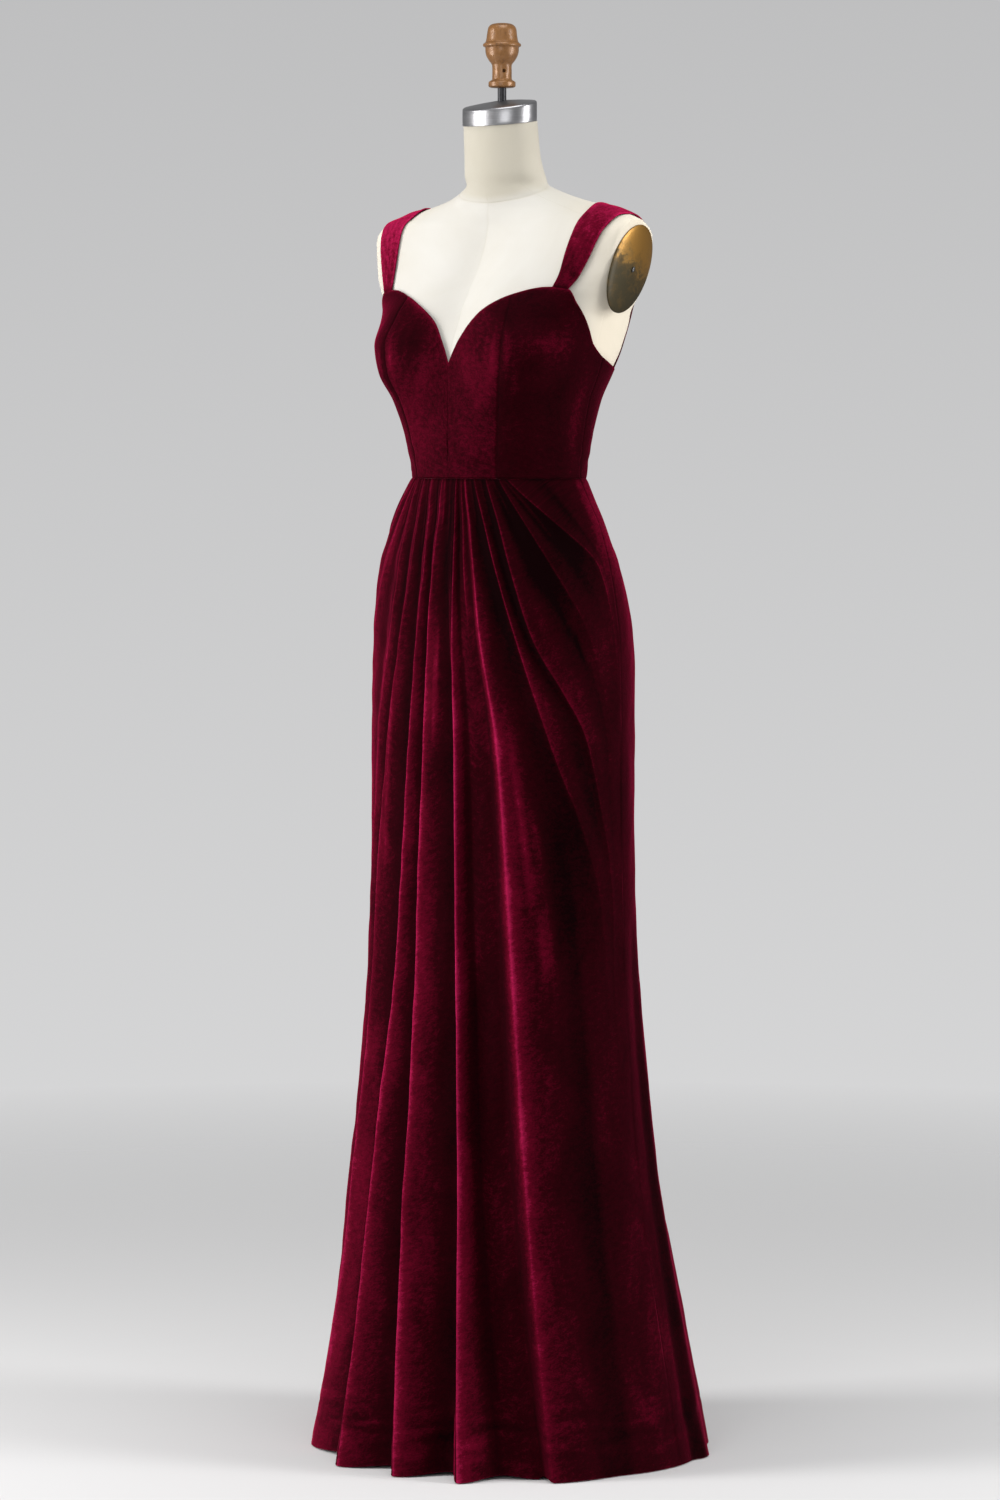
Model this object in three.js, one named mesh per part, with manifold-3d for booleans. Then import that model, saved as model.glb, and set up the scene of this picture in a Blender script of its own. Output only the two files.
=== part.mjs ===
// Mermaid dress on its limbless dress form, in millimetres, +Z up, the front towards -Y and the
// wearer's left towards +X. The origin is the centre of the stand's underside, on the floor.
// Every angle is seen from above, 0 at the front and growing towards the wearer's left.
import * as THREE from "three";
import Module from "manifold-3d";

const wasm = await Module();
wasm.setup();

const sizes = {
  clothWall: 2, // velvet with its backing
  seamGap: 0.3,
  bodiceEase: 2, // air between the form and the bodice
  strapEase: 1.3, // air between the form and a strap
  hemHeight: 1.5,
  hemLift: 4, // how much higher the hem is between two front folds
  waistHeight: 1200,
  sideSeam: 95,
  backPrincess: 142,
  formBottom: 870,
  neckTop: 1635.1,
  neckTilt: 0.13,
  capTilt: 0.2,
  plateHeight: 1454,
  plateOut: 186.5, // from the centre to the arm plate's inner face, at the plate's middle
  plateLean: 0.17, // how far the plate's top stands out for each mm up
  plateBackLeft: 16.5, // how far behind the centre each plate's middle is
  plateBackRight: 24.5,
};

// The form's sections: half widths and depths, the centre's way back, how square the front and the
// back are, how far the bust and the arm stump stand out, and how hollow the middle of the chest is.
const formSections = [
  { z: 870, side: 169, front: 113, back: 126, centre: 0, squareFront: 2, squareBack: 2,
    bust: 0, arm: 0, hollow: 0 },
  { z: 975, side: 170, front: 113, back: 128, centre: 0, squareFront: 2, squareBack: 2,
    bust: 0, arm: 0, hollow: 0 },
  { z: 1050, side: 161, front: 112, back: 121, centre: 0, squareFront: 2, squareBack: 2,
    bust: 0, arm: 0, hollow: 0 },
  { z: 1100, side: 150, front: 110, back: 104, centre: 0, squareFront: 2, squareBack: 2,
    bust: 0, arm: 0, hollow: 0 },
  { z: 1150, side: 135, front: 104, back: 86, centre: 0, squareFront: 2, squareBack: 2,
    bust: 0, arm: 0, hollow: 0 },
  { z: 1200, side: 113, front: 99, back: 78, centre: 0, squareFront: 2, squareBack: 2,
    bust: 0, arm: 0, hollow: 0 },
  { z: 1246.3, side: 117, front: 99, back: 83, centre: 0, squareFront: 2, squareBack: 2.15,
    bust: 6, arm: 0, hollow: 0 },
  { z: 1294.5, side: 126, front: 98, back: 94, centre: 0, squareFront: 2.1, squareBack: 2.25,
    bust: 17.5, arm: 0, hollow: 0 },
  { z: 1328, side: 139, front: 98, back: 103, centre: 0, squareFront: 2.2, squareBack: 2.4,
    bust: 29, arm: 0, hollow: 0 },
  { z: 1361.4, side: 149, front: 95, back: 110, centre: 0, squareFront: 2.35, squareBack: 2.8,
    bust: 31, arm: 0, hollow: 2 },
  { z: 1396.9, side: 156, front: 86, back: 113, centre: 0, squareFront: 2.5, squareBack: 3,
    bust: 20, arm: 4, hollow: 7 },
  { z: 1428.4, side: 157, front: 73, back: 111, centre: 2, squareFront: 2.75, squareBack: 2.9,
    bust: 10, arm: 27, hollow: 8 },
  { z: 1454, side: 160, front: 62, back: 100, centre: 6, squareFront: 3, squareBack: 2.6,
    bust: 3, arm: 38, hollow: 9 },
  { z: 1480, side: 171, front: 54, back: 89, centre: 11, squareFront: 3.2, squareBack: 2.4,
    bust: 0, arm: 33, hollow: 8 },
  { z: 1499, side: 183, front: 50, back: 77, centre: 16, squareFront: 3, squareBack: 2.1,
    bust: 0, arm: 25, hollow: 5 },
  { z: 1513, side: 190, front: 49, back: 66, centre: 20, squareFront: 2.4, squareBack: 1.8,
    bust: 0, arm: 10, hollow: 2 },
  { z: 1522.5, side: 174, front: 49.5, back: 58, centre: 22, squareFront: 1.75, squareBack: 1.6,
    bust: 0, arm: 0, hollow: 0 },
  { z: 1532, side: 143, front: 48.5, back: 50, centre: 22, squareFront: 1.5, squareBack: 1.5,
    bust: 0, arm: 0, hollow: 0 },
  { z: 1542, side: 103, front: 48, back: 45, centre: 20, squareFront: 1.5, squareBack: 1.5,
    bust: 0, arm: 0, hollow: 0 },
  { z: 1552, side: 74, front: 46.5, back: 42, centre: 15.5, squareFront: 1.65, squareBack: 1.65,
    bust: 0, arm: 0, hollow: 0 },
  { z: 1560, side: 56.5, front: 45, back: 41.5, centre: 11.5, squareFront: 1.85, squareBack: 1.85,
    bust: 0, arm: 0, hollow: 0 },
  { z: 1572, side: 54, front: 43, back: 41, centre: 6, squareFront: 2, squareBack: 2,
    bust: 0, arm: 0, hollow: 0 },
  { z: 1598, side: 50.5, front: 40.5, back: 40, centre: 0.5, squareFront: 2, squareBack: 2,
    bust: 0, arm: 0, hollow: 0 },
  { z: 1647.9, side: 49.5, front: 38, back: 37, centre: -4, squareFront: 2, squareBack: 2,
    bust: 0, arm: 0, hollow: 0 },
];

// The skirt's sections between its folds: half widths to the wearer's left and right, and depths.
const skirtSections = [
  { z: 0, left: 268, right: 234, front: 219, back: 228 },
  { z: 150, left: 238, right: 221, front: 182, back: 204 },
  { z: 300, left: 212, right: 211, front: 157, back: 177 },
  { z: 450, left: 195, right: 199, front: 142, back: 155 },
  { z: 600, left: 184, right: 187, front: 134, back: 141 },
  { z: 750, left: 180, right: 180, front: 132, back: 135 },
  { z: 850, left: 179, right: 178, front: 131, back: 135 },
  { z: 930, left: 178, right: 178, front: 131, back: 136 },
  { z: 1000, left: 176, right: 177, front: 130, back: 136 },
  { z: 1048, left: 170, right: 171, front: 129, back: 131 },
  { z: 1098, left: 160, right: 161, front: 125, back: 115 },
  { z: 1123, left: 153, right: 153, front: 121, back: 100 },
  { z: 1148, left: 144, right: 144, front: 116, back: 92 },
  { z: 1173, left: 130.5, right: 132, front: 111, back: 87 },
  { z: 1200, left: 117, right: 117, front: 103, back: 82 },
];

// Each fold of the gathered front, from the wearer's right to the left: the angle of its ridge and
// how far it stands out, at these heights from the waist seam to the hem.
const foldHeights = [1200, 1150, 1090, 1010, 880, 680, 380, 0];
const frontFolds = [
  { fold: "right_1", angle: [-44, -62, -78, -85, -88, -89, -89, -89], rise: [1.5, 3, 2, 1, 0, 0, 0, 0] },
  { fold: "right_2", angle: [-40, -51, -63, -74, -81, -82, -82, -82], rise: [1.5, 3, 3, 2, 1, 1, 1, 3] },
  { fold: "right_3", angle: [-36, -40, -47, -57, -67, -72, -73, -73], rise: [1.5, 3, 3, 3, 2, 2, 3, 6] },
  { fold: "right_4", angle: [-31, -29, -29.5, -34, -45, -54, -57, -60], rise: [1.5, 3, 4, 4, 4, 4, 5, 8] },
  { fold: "right_5", angle: [-22, -18, -17.5, -23, -33, -42, -44, -45], rise: [2, 4, 5, 5, 6, 8, 13, 12] },
  { fold: "right_6", angle: [-14, -8.5, -7, -10, -14, -18.5, -23.5, -11.5], rise: [2, 4, 5, 6, 8, 12, 22, 38] },
  { fold: "right_7", angle: [-4, -0.5, -0.5, -2.7, -4.4, -6.2, -5, 12], rise: [2, 4, 5, 6, 8, 12, 22, 40] },
  { fold: "middle", angle: [8, 11.5, 13.2, 13.4, 15.3, 16.8, 21, 30], rise: [2, 4, 5, 6, 9, 14, 26, 46] },
  { fold: "left_1", angle: [11.5, 16.3, 19, 22.5, 27.3, 30.8, 36, 50], rise: [0.8, 1.5, 1, 0, 0, 0, 0, 0] },
  { fold: "left_2", angle: [15, 21, 25, 29, 37.6, 42.8, 48.4, 58], rise: [2, 4, 4, 6, 10, 16, 22, 24] },
  { fold: "left_3", angle: [21.5, 29.5, 36.7, 46.2, 60.2, 67, 70, 72], rise: [2.5, 4, 4, 4, 4, 3, 3, 3] },
  { fold: "left_4", angle: [29.5, 37.5, 44.5, 54.4, 73, 78, 80, 80], rise: [2.5, 4, 4, 4, 3, 2, 2, 2] },
  { fold: "left_5", angle: [38, 51, 64, 76, 83, 85.5, 86, 86], rise: [2.5, 4, 3, 3, 2, 1, 1, 1] },
  { fold: "left_6", angle: [43, 62.5, 79, 86, 90, 91, 91, 91], rise: [2, 3, 2, 1, 0, 0, 0, 0] },
];
const backFolds = [
  { fold: "back_1", angle: [110, 110, 110, 110, 110, 109, 108, 108], rise: [0, 0, 0, 0, 0, 1, 5, 10] },
  { fold: "back_2", angle: [126, 126, 126, 127, 128, 129, 130, 131], rise: [0, 0, 0, 0, 0, 1, 4, 9] },
  { fold: "back_3", angle: [146, 146, 146, 146, 148, 149, 150, 151], rise: [0, 0, 0, 0, 1, 3, 8, 16] },
  { fold: "back_4", angle: [165, 165, 165, 165, 166, 167, 168, 168], rise: [0, 0, 0, 0, 0, 2, 6, 11] },
];

// The bodice's upper edge and the front princess seam.
const topEdge = [
  { angle: 0, z: 1338.5 },
  { angle: 4, z: 1354 },
  { angle: 9.3, z: 1370 },
  { angle: 18, z: 1390 },
  { angle: 31, z: 1409 },
  { angle: 47, z: 1423.5 },
  { angle: 64, z: 1431.5 },
  { angle: 70.9, z: 1428.5 },
  { angle: 73.8, z: 1413.5 },
  { angle: 77.3, z: 1399 },
  { angle: 81, z: 1381 },
  { angle: 85.5, z: 1363 },
  { angle: 96, z: 1346.5 },
  { angle: 110, z: 1335.8 },
  { angle: 130, z: 1329 },
  { angle: 155, z: 1326 },
  { angle: 180, z: 1325 },
];
const frontPrincess = [
  { z: 1195, angle: 36 },
  { z: 1276.8, angle: 38 },
  { z: 1350.6, angle: 39.5 },
  { z: 1415.6, angle: 45 },
  { z: 1436.3, angle: 50 },
];

// A strap's two edges, followed from the front joint over the shoulder to the back joint: how far
// below the shoulder line, and how far out from the centre.
const strapFront = { inner: 65.4, outer: 70.7 };
const strapBack = { inner: 136, outer: 123 };
const strapRows = [
  { face: 1, drop: 88, inner: 132, outer: 154 },
  { face: 1, drop: 62, inner: 134.5, outer: 164 },
  { face: 1, drop: 40, inner: 137.5, outer: 171 },
  { face: 1, drop: 24, inner: 139.5, outer: 175.5 },
  { face: 1, drop: 12, inner: 139, outer: 180 },
  { face: 1, drop: 5, inner: 138, outer: 181.5 },
  { face: 1, drop: 1.2, inner: 138, outer: 181.5 },
  { face: -1, drop: 1.2, inner: 138, outer: 181 },
  { face: -1, drop: 5, inner: 137, outer: 180 },
  { face: -1, drop: 12, inner: 136, outer: 178 },
  { face: -1, drop: 24, inner: 134, outer: 173 },
  { face: -1, drop: 44, inner: 129, outer: 164 },
  { face: -1, drop: 66, inner: 123, outer: 155 },
  { face: -1, drop: 90, inner: 117, outer: 147 },
  { face: -1, drop: 116, inner: 109, outer: 138 },
  { face: -1, drop: 142, inner: 101, outer: 129 },
  { face: -1, drop: 166, inner: 95, outer: 121 },
  { face: -1, drop: 184, inner: 91, outer: 117 },
];

const finialProfile = [
  { z: 0, radius: 16.6 },
  { z: 8, radius: 16.6 },
  { z: 9.5, radius: 12.5 },
  { z: 27, radius: 12 },
  { z: 33, radius: 16 },
  { z: 39.5, radius: 19.4 },
  { z: 49, radius: 20.4 },
  { z: 50.6, radius: 23.2 },
  { z: 53, radius: 23.2 },
  { z: 58.5, radius: 19.4 },
  { z: 70.7, radius: 17.8 },
  { z: 76, radius: 15 },
  { z: 78.6, radius: 9 },
];

const colours = {
  velvet: "#5c0622",
  linen: "#e9e3d2",
  steel: "#b9bcc2",
  darkSteel: "#3a3b3e",
  wood: "#a06a3c",
  brass: "#7d5a1c",
};

const rad = (degrees) => (degrees * Math.PI) / 180;
const mix = (a, b, t) => a + (b - a) * t;
const smooth = (t) => {
  const s = Math.min(1, Math.max(0, t));
  return s * s * (3 - 2 * s);
};

// A monotone cubic through points (xs, ys), so no value overshoots its neighbours.
function curve(xs, ys) {
  const last = xs.length - 1;
  const slopes = xs.map((_, i) => {
    if (i === 0 || i === last) return 0;
    const before = (ys[i] - ys[i - 1]) / (xs[i] - xs[i - 1]);
    const after = (ys[i + 1] - ys[i]) / (xs[i + 1] - xs[i]);
    return before * after <= 0 ? 0 : (2 * before * after) / (before + after);
  });
  if (last > 0) {
    slopes[0] = (ys[1] - ys[0]) / (xs[1] - xs[0]);
    slopes[last] = (ys[last] - ys[last - 1]) / (xs[last] - xs[last - 1]);
  }
  return (x) => {
    if (x <= xs[0]) return ys[0];
    if (x >= xs[last]) return ys[last];
    let i = 0;
    while (x > xs[i + 1]) i += 1;
    const w = xs[i + 1] - xs[i];
    const t = (x - xs[i]) / w;
    const u = 1 - t;
    const held = ys[i] * (1 + 2 * t) * u * u + ys[i + 1] * (3 - 2 * t) * t * t;
    return held + slopes[i] * w * t * u * u - slopes[i + 1] * w * t * t * u;
  };
}

// One curve for each named column of a table.
function columns(rows, by) {
  const xs = rows.map((row) => row[by]);
  const made = {};
  for (const key of Object.keys(rows[0])) {
    if (key !== by && typeof rows[0][key] === "number") made[key] = curve(xs, rows.map((row) => row[key]));
  }
  return made;
}

const form = columns(formSections, "z");
const skirt = columns(skirtSections, "z");
const edgeHeight = columns(topEdge, "angle").z;
const princessAngle = columns(frontPrincess, "z").angle;

// A superellipse's radius towards an angle.
function reach(angle, half, depth, square) {
  const s = Math.abs(Math.sin(rad(angle))) / half;
  const c = Math.abs(Math.cos(rad(angle))) / depth;
  return (s ** square + c ** square) ** (-1 / square);
}

// A point of the form's surface: a superellipse, plus the two lobes of the bust and the arm stumps
// and less the chest's hollow, cut off flat at each arm plate.
function formPoint(angle, z) {
  const forward = Math.cos(rad(angle)) >= 0;
  const square = forward ? form.squareFront(z) : form.squareBack(z);
  const depth = forward ? form.front(z) : form.back(z);
  const turned = Math.abs(((angle + 540) % 360) - 180);
  const bust = form.bust(z) * Math.exp(-(((turned - 44) / 25) ** 2));
  const arm = form.arm(z) * Math.exp(-(Math.abs((turned - 95) / (turned < 95 ? 20.5 : 24)) ** 2.6));
  const hollow = form.hollow(z) * Math.exp(-((turned / 32) ** 2));
  const r = reach(angle, form.side(z), depth, square) + bust + arm - hollow;
  const wall = sizes.plateOut + sizes.plateLean * (z - sizes.plateHeight);
  const x = r * Math.sin(rad(angle));
  const y = form.centre(z) - r * Math.cos(rad(angle));
  return new THREE.Vector3(Math.sign(x) * Math.min(Math.abs(x), wall), y, z);
}

// The outward normal of a surface at (u, v), from its differences on both sides.
function normalOf(point, u, v, du, dv) {
  const along = point(u + du, v).sub(point(u - du, v));
  const up = point(u, v + dv).sub(point(u, v - dv));
  return along.cross(up).normalize();
}

const formNormal = (angle, z) => normalOf(formPoint, angle, z, 0.6, 1);

// The outer face of the bodice lies a fixed way off the form.
function bodicePoint(angle, z) {
  const off = sizes.bodiceEase + sizes.clothWall;
  const n = formNormal(angle, Math.max(z, sizes.waistHeight + 2));
  n.z = 0;
  return formPoint(angle, z).addScaledVector(n.normalize(), off);
}

function skirtBase(angle, z) {
  const sine = Math.sin(rad(angle));
  const cosine = Math.cos(rad(angle));
  const half = sine >= 0 ? skirt.left(z) : skirt.right(z);
  return reach(angle, half, cosine >= 0 ? skirt.front(z) : skirt.back(z), 2);
}

// A gathered panel: whole values of u are its seams and the ridges of its folds, the halves between
// them are the valleys. The cloth stands out by the nearest ridge's rise times a squared cosine.
function gathered(folds, first, last, lift) {
  const ys = foldHeights.slice().reverse();
  const angles = folds.map((row) => curve(ys, row.angle.slice().reverse()));
  const rises = folds.map((row) => curve(ys, row.rise.slice().reverse()));
  const count = folds.length + 1;
  const place = (u, z) => {
    const inset = THREE.MathUtils.radToDeg(sizes.seamGap / 2 / skirtBase(first, z));
    const all = [first + inset, ...angles.map((angle) => angle(z)), last - inset];
    const i = Math.min(count - 1, Math.max(0, Math.floor(u)));
    return mix(all[i], all[i + 1], u - i);
  };
  const point = (u, z) => {
    const angle = place(u, z);
    const near = Math.round(u);
    const ridge = near > 0 && near < count ? rises[near - 1](z) : 0;
    const crest = Math.cos(Math.PI * (u - near)) ** 2;
    const r = skirtBase(angle, z) + ridge * crest;
    const raised = lift(u) * (1 - crest) * (1 - smooth(z / 260));
    return new THREE.Vector3(r * Math.sin(rad(angle)), -r * Math.cos(rad(angle)), z + raised);
  };
  return { point, count };
}

// A closed wall from a grid of outer points and the same grid of inner ones.
function wallFrom(outer, inner) {
  const rows = outer.length;
  const cols = outer[0].length;
  const positions = [];
  for (const grid of [outer, inner]) {
    for (const row of grid) for (const p of row) positions.push(p.x, p.y, p.z);
  }
  const at = (layer, r, c) => layer * rows * cols + r * cols + c;
  const index = [];
  const quad = (a, b, c, d) => index.push(a, b, c, a, c, d);
  for (let r = 0; r < rows - 1; r += 1) {
    for (let c = 0; c < cols - 1; c += 1) {
      quad(at(0, r, c), at(0, r, c + 1), at(0, r + 1, c + 1), at(0, r + 1, c));
      quad(at(1, r, c), at(1, r + 1, c), at(1, r + 1, c + 1), at(1, r, c + 1));
    }
  }
  for (let c = 0; c < cols - 1; c += 1) {
    quad(at(1, 0, c), at(1, 0, c + 1), at(0, 0, c + 1), at(0, 0, c));
    quad(at(0, rows - 1, c), at(0, rows - 1, c + 1), at(1, rows - 1, c + 1), at(1, rows - 1, c));
  }
  for (let r = 0; r < rows - 1; r += 1) {
    quad(at(1, r, 0), at(0, r, 0), at(0, r + 1, 0), at(1, r + 1, 0));
    quad(at(0, r, cols - 1), at(1, r, cols - 1), at(1, r + 1, cols - 1), at(0, r + 1, cols - 1));
  }
  return geometryFrom(positions, index);
}

function geometryFrom(positions, index) {
  const made = new THREE.BufferGeometry();
  made.setAttribute("position", new THREE.Float32BufferAttribute(positions, 3));
  made.setIndex(index);
  made.computeVertexNormals();
  return made;
}

// Rings of points joined into a closed solid, with a flat fan at each end.
function ringSolid(rings) {
  const count = rings[0].length;
  const positions = [];
  for (const ring of rings) for (const p of ring) positions.push(p.x, p.y, p.z);
  const middle = (ring) => ring.reduce((sum, p) => sum.add(p), new THREE.Vector3()).divideScalar(count);
  for (const ring of [rings[0], rings[rings.length - 1]]) positions.push(...middle(ring).toArray());
  const index = [];
  for (let r = 0; r < rings.length - 1; r += 1) {
    for (let c = 0; c < count; c += 1) {
      const a = r * count + c;
      const b = r * count + ((c + 1) % count);
      index.push(a, b, b + count, a, b + count, a + count);
    }
  }
  const low = rings.length * count;
  const top = (rings.length - 1) * count;
  for (let c = 0; c < count; c += 1) {
    const next = (c + 1) % count;
    index.push(low, next, c);
    index.push(low + 1, top + c, top + next);
  }
  return geometryFrom(positions, index);
}

function toManifold(geometry) {
  const flat = geometry.index ? geometry : geometry.clone();
  return new wasm.Manifold(
    new wasm.Mesh({
      numProp: 3,
      vertProperties: new Float32Array(flat.attributes.position.array),
      triVerts: new Uint32Array(flat.index.array),
    }),
  );
}

function fromManifold(solid) {
  const mesh = solid.getMesh();
  return geometryFrom(Array.from(mesh.vertProperties), Array.from(mesh.triVerts));
}

const part = new THREE.Group();
part.name = "mermaid_dress_on_form";

function add(name, geometry, colour, roughness, metalness) {
  const material = new THREE.MeshStandardMaterial({ color: colours[colour], roughness, metalness });
  material.name = colour;
  const mesh = new THREE.Mesh(geometry, material);
  mesh.name = name;
  part.add(mesh);
}

const addCloth = (name, geometry) => add(name, geometry, "velvet", 0.9, 0);

const mirrored = (points) => points.map((row) => row.map((p) => new THREE.Vector3(-p.x, p.y, p.z)).reverse());

// A bodice panel between two seams. Its rows run from the waist to its own upper edge.
function bodicePanel(seamA, seamB, cols, rows) {
  const gap = sizes.seamGap / 2;
  const outer = [];
  const inner = [];
  for (let r = 0; r <= rows; r += 1) {
    const rowOuter = [];
    const rowInner = [];
    for (let c = 0; c <= cols; c += 1) {
      const low = sizes.waistHeight + gap;
      let z = low;
      let angle = 0;
      for (let pass = 0; pass < 12; pass += 1) {
        const inset = (gap / 110) * (180 / Math.PI);
        angle = mix(seamA(z) + inset, seamB(z) - inset, c / cols);
        z = mix(low, edgeHeight(angle), r / rows);
      }
      const p = bodicePoint(angle, z);
      const n = normalOf(bodicePoint, angle, z, 0.6, 1);
      n.z *= z < sizes.waistHeight + 12 || r === rows ? 0 : 1;
      rowOuter.push(p);
      rowInner.push(p.clone().addScaledVector(n.normalize(), -sizes.clothWall));
    }
    outer.push(rowOuter);
    inner.push(rowInner);
  }
  return { outer, inner };
}

const bodicePanels = [
  { name: "bodice_centre_front", from: () => 0, to: princessAngle, cols: 7, rows: 10 },
  { name: "bodice_side_front", from: princessAngle, to: () => sizes.sideSeam, cols: 12, rows: 10 },
  { name: "bodice_side_back", from: () => sizes.sideSeam, to: () => sizes.backPrincess, cols: 5, rows: 7 },
  { name: "bodice_centre_back", from: () => sizes.backPrincess, to: () => 180, cols: 4, rows: 7 },
];
for (const row of bodicePanels) {
  const { outer, inner } = bodicePanel(row.from, row.to, row.cols, row.rows);
  addCloth(row.name + "_left", wallFrom(outer, inner));
  addCloth(row.name + "_right", wallFrom(mirrored(outer), mirrored(inner)));
}

// Where the shoulder line is, for a distance out from the centre.
function shoulderHeight(out) {
  let low = 1514;
  let high = 1569;
  for (let pass = 0; pass < 30; pass += 1) {
    const mid = (low + high) / 2;
    if (form.side(mid) > out) low = mid;
    else high = mid;
  }
  return low;
}

// The angle of the form's point at a height that is a given distance out, on one face.
function angleAt(out, z, face) {
  let near = face > 0 ? 20 : 160;
  let far = face > 0 ? 90 : 90;
  for (let pass = 0; pass < 40; pass += 1) {
    const mid = (near + far) / 2;
    if (formPoint(mid, z).x < out) near = mid;
    else far = mid;
  }
  return (near + far) / 2;
}

// A strap is a band of the form's own surface, moved out. It ends on the bodice's edge.
function strapGrids(cols, perRow) {
  const ends = (joint) => (c) => {
    const angle = mix(joint.inner, joint.outer, c);
    const z = edgeHeight(angle) + sizes.seamGap;
    const p = bodicePoint(angle, z);
    const n = normalOf(bodicePoint, angle, z, 0.6, 1);
    return { p, n: new THREE.Vector3(n.x, n.y, 0).normalize() };
  };
  const between = (row) => (c) => {
    const out = mix(row.inner, row.outer, c);
    const z = shoulderHeight(out) - row.drop;
    const angle = angleAt(out, z, row.face);
    const n = formNormal(angle, z);
    const p = formPoint(angle, z).addScaledVector(n, sizes.strapEase + sizes.clothWall);
    return { p, n };
  };
  const stations = [ends(strapFront), ...strapRows.map(between), ends(strapBack)];
  const outer = [];
  const inner = [];
  const outerLines = [];
  const innerLines = [];
  for (let c = 0; c <= cols; c += 1) {
    const made = stations.map((station) => station(c / cols));
    const top = made.map((one) => one.p);
    const under = made.map((one) => one.p.clone().addScaledVector(one.n, -sizes.clothWall));
    outerLines.push(new THREE.CatmullRomCurve3(top, false, "centripetal"));
    innerLines.push(new THREE.CatmullRomCurve3(under, false, "centripetal"));
  }
  const steps = (stations.length - 1) * perRow;
  for (let r = 0; r <= steps; r += 1) {
    outer.push(outerLines.map((line) => line.getPoint(r / steps)));
    inner.push(innerLines.map((line) => line.getPoint(r / steps)));
  }
  return { outer, inner };
}

const strap = strapGrids(3, 2);
addCloth("strap_left", wallFrom(strap.outer.map((row) => row.slice()), strap.inner.map((row) => row.slice())));
addCloth("strap_right", wallFrom(mirrored(strap.outer), mirrored(strap.inner)));

// A skirt panel from the waist seam to the hem.
function skirtPanel(panel, perFold, heights) {
  const outer = [];
  const inner = [];
  const steps = panel.count * perFold;
  for (const z of heights) {
    const rowOuter = [];
    const rowInner = [];
    for (let c = 0; c <= steps; c += 1) {
      const u = c / perFold;
      const p = panel.point(u, z);
      const n = normalOf(panel.point, u, z, 0.2, 3);
      n.z *= z > sizes.waistHeight - 15 || z < 12 ? 0 : 1;
      rowOuter.push(p);
      rowInner.push(p.clone().addScaledVector(n.normalize(), -sizes.clothWall));
    }
    outer.push(rowOuter);
    inner.push(rowInner);
  }
  return wallFrom(outer, inner);
}

const waist = sizes.waistHeight - sizes.seamGap / 2;
const frontHeights = [
  sizes.hemHeight, 40, 110, 210, 320, 440, 560, 680, 790, 880, 950, 1005, 1050, 1085, 1115, 1140, 1160, 1177,
  1190, waist,
];
const backHeights = [
  sizes.hemHeight, 80, 200, 340, 500, 700, 870, 970, 1035, 1085, 1123, 1155, 1180, waist,
];
const frontLift = (u) => (u > 5 && u < 10.5 ? sizes.hemLift * smooth((u - 5) * 2) * smooth((10.5 - u) * 2) : 0);
const front = gathered(frontFolds, -sizes.sideSeam, sizes.sideSeam, frontLift);
addCloth("skirt_front", skirtPanel(front, 6, frontHeights));
const turnedFolds = backFolds
  .map((row) => ({ ...row, angle: row.angle.map((angle) => 362 - angle), rise: row.rise.map((rise) => rise * 0.8) }))
  .reverse();
const backLeft = gathered(backFolds, sizes.sideSeam, 180, () => 0);
const backRight = gathered(turnedFolds, 180, 360 - sizes.sideSeam, () => 0);
addCloth("skirt_back_left", skirtPanel(backLeft, 3, backHeights));
addCloth("skirt_back_right", skirtPanel(backRight, 3, backHeights));

// The form: rings of its surface from the hips to the neck, the neck's top leaning forwards.
const formHeights = [
  870, 950, 1015, 1065, 1105, 1140, 1170, 1200, 1230, 1261, 1289, 1312, 1336, 1360, 1381, 1399, 1415, 1430,
  1446, 1462, 1478, 1492, 1505, 1515, 1524, 1532, 1540, 1548, 1555, 1564, 1577, 1599, sizes.neckTop,
];
function formRing(z, count) {
  const ring = [];
  const lean = sizes.neckTilt * smooth((z - 1578) / (sizes.neckTop - 1578));
  for (let c = 0; c < count; c += 1) {
    const turn = (c / count) * 2 * Math.PI;
    const depth = Math.cos(turn) >= 0 ? form.front(z) : form.back(z);
    const angle = THREE.MathUtils.radToDeg(Math.atan2(form.side(z) * Math.sin(turn), depth * Math.cos(turn)));
    const p = formPoint(angle, z);
    p.z += lean * p.y;
    ring.push(p);
  }
  return ring;
}
add("form_torso", ringSolid(formHeights.map((z) => formRing(z, 42))), "linen", 0.9, 0);

// The neck's steel cap: a band that is higher at the back, with a low cone on top round the rod.
function capRing(z, tilt, grow, centre) {
  const ring = [];
  for (let c = 0; c < 30; c += 1) {
    const turn = (c / 30) * 2 * Math.PI;
    const y = centre - 39 * grow * Math.cos(turn);
    ring.push(new THREE.Vector3(49.8 * grow * Math.sin(turn), y, z + tilt * y));
  }
  return ring;
}
const cap = toManifold(
  ringSolid([
    capRing(sizes.neckTop + 0.3, sizes.neckTilt, 1, -4.5),
    capRing(1657.5, sizes.capTilt, 1, -4.5),
    capRing(1658.6, sizes.capTilt, 0.97, -4.5),
    capRing(1662.5, sizes.capTilt, 0.2, -1),
  ]),
);
const rodHole = wasm.Manifold.cylinder(40, 5.7, 5.7, 20).translate([0, 0, 1649]);
add("neck_cap", fromManifold(cap.subtract(rodHole)), "steel", 0.3, 1);

function post(radius, low, high, segments) {
  const made = new THREE.CylinderGeometry(radius, radius, high - low, segments);
  made.rotateX(Math.PI / 2);
  made.translate(0, 0, (low + high) / 2);
  return made;
}
add("neck_rod", post(5.35, 1649.3, 1678.2, 16), "darkSteel", 0.5, 0.8);

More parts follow.
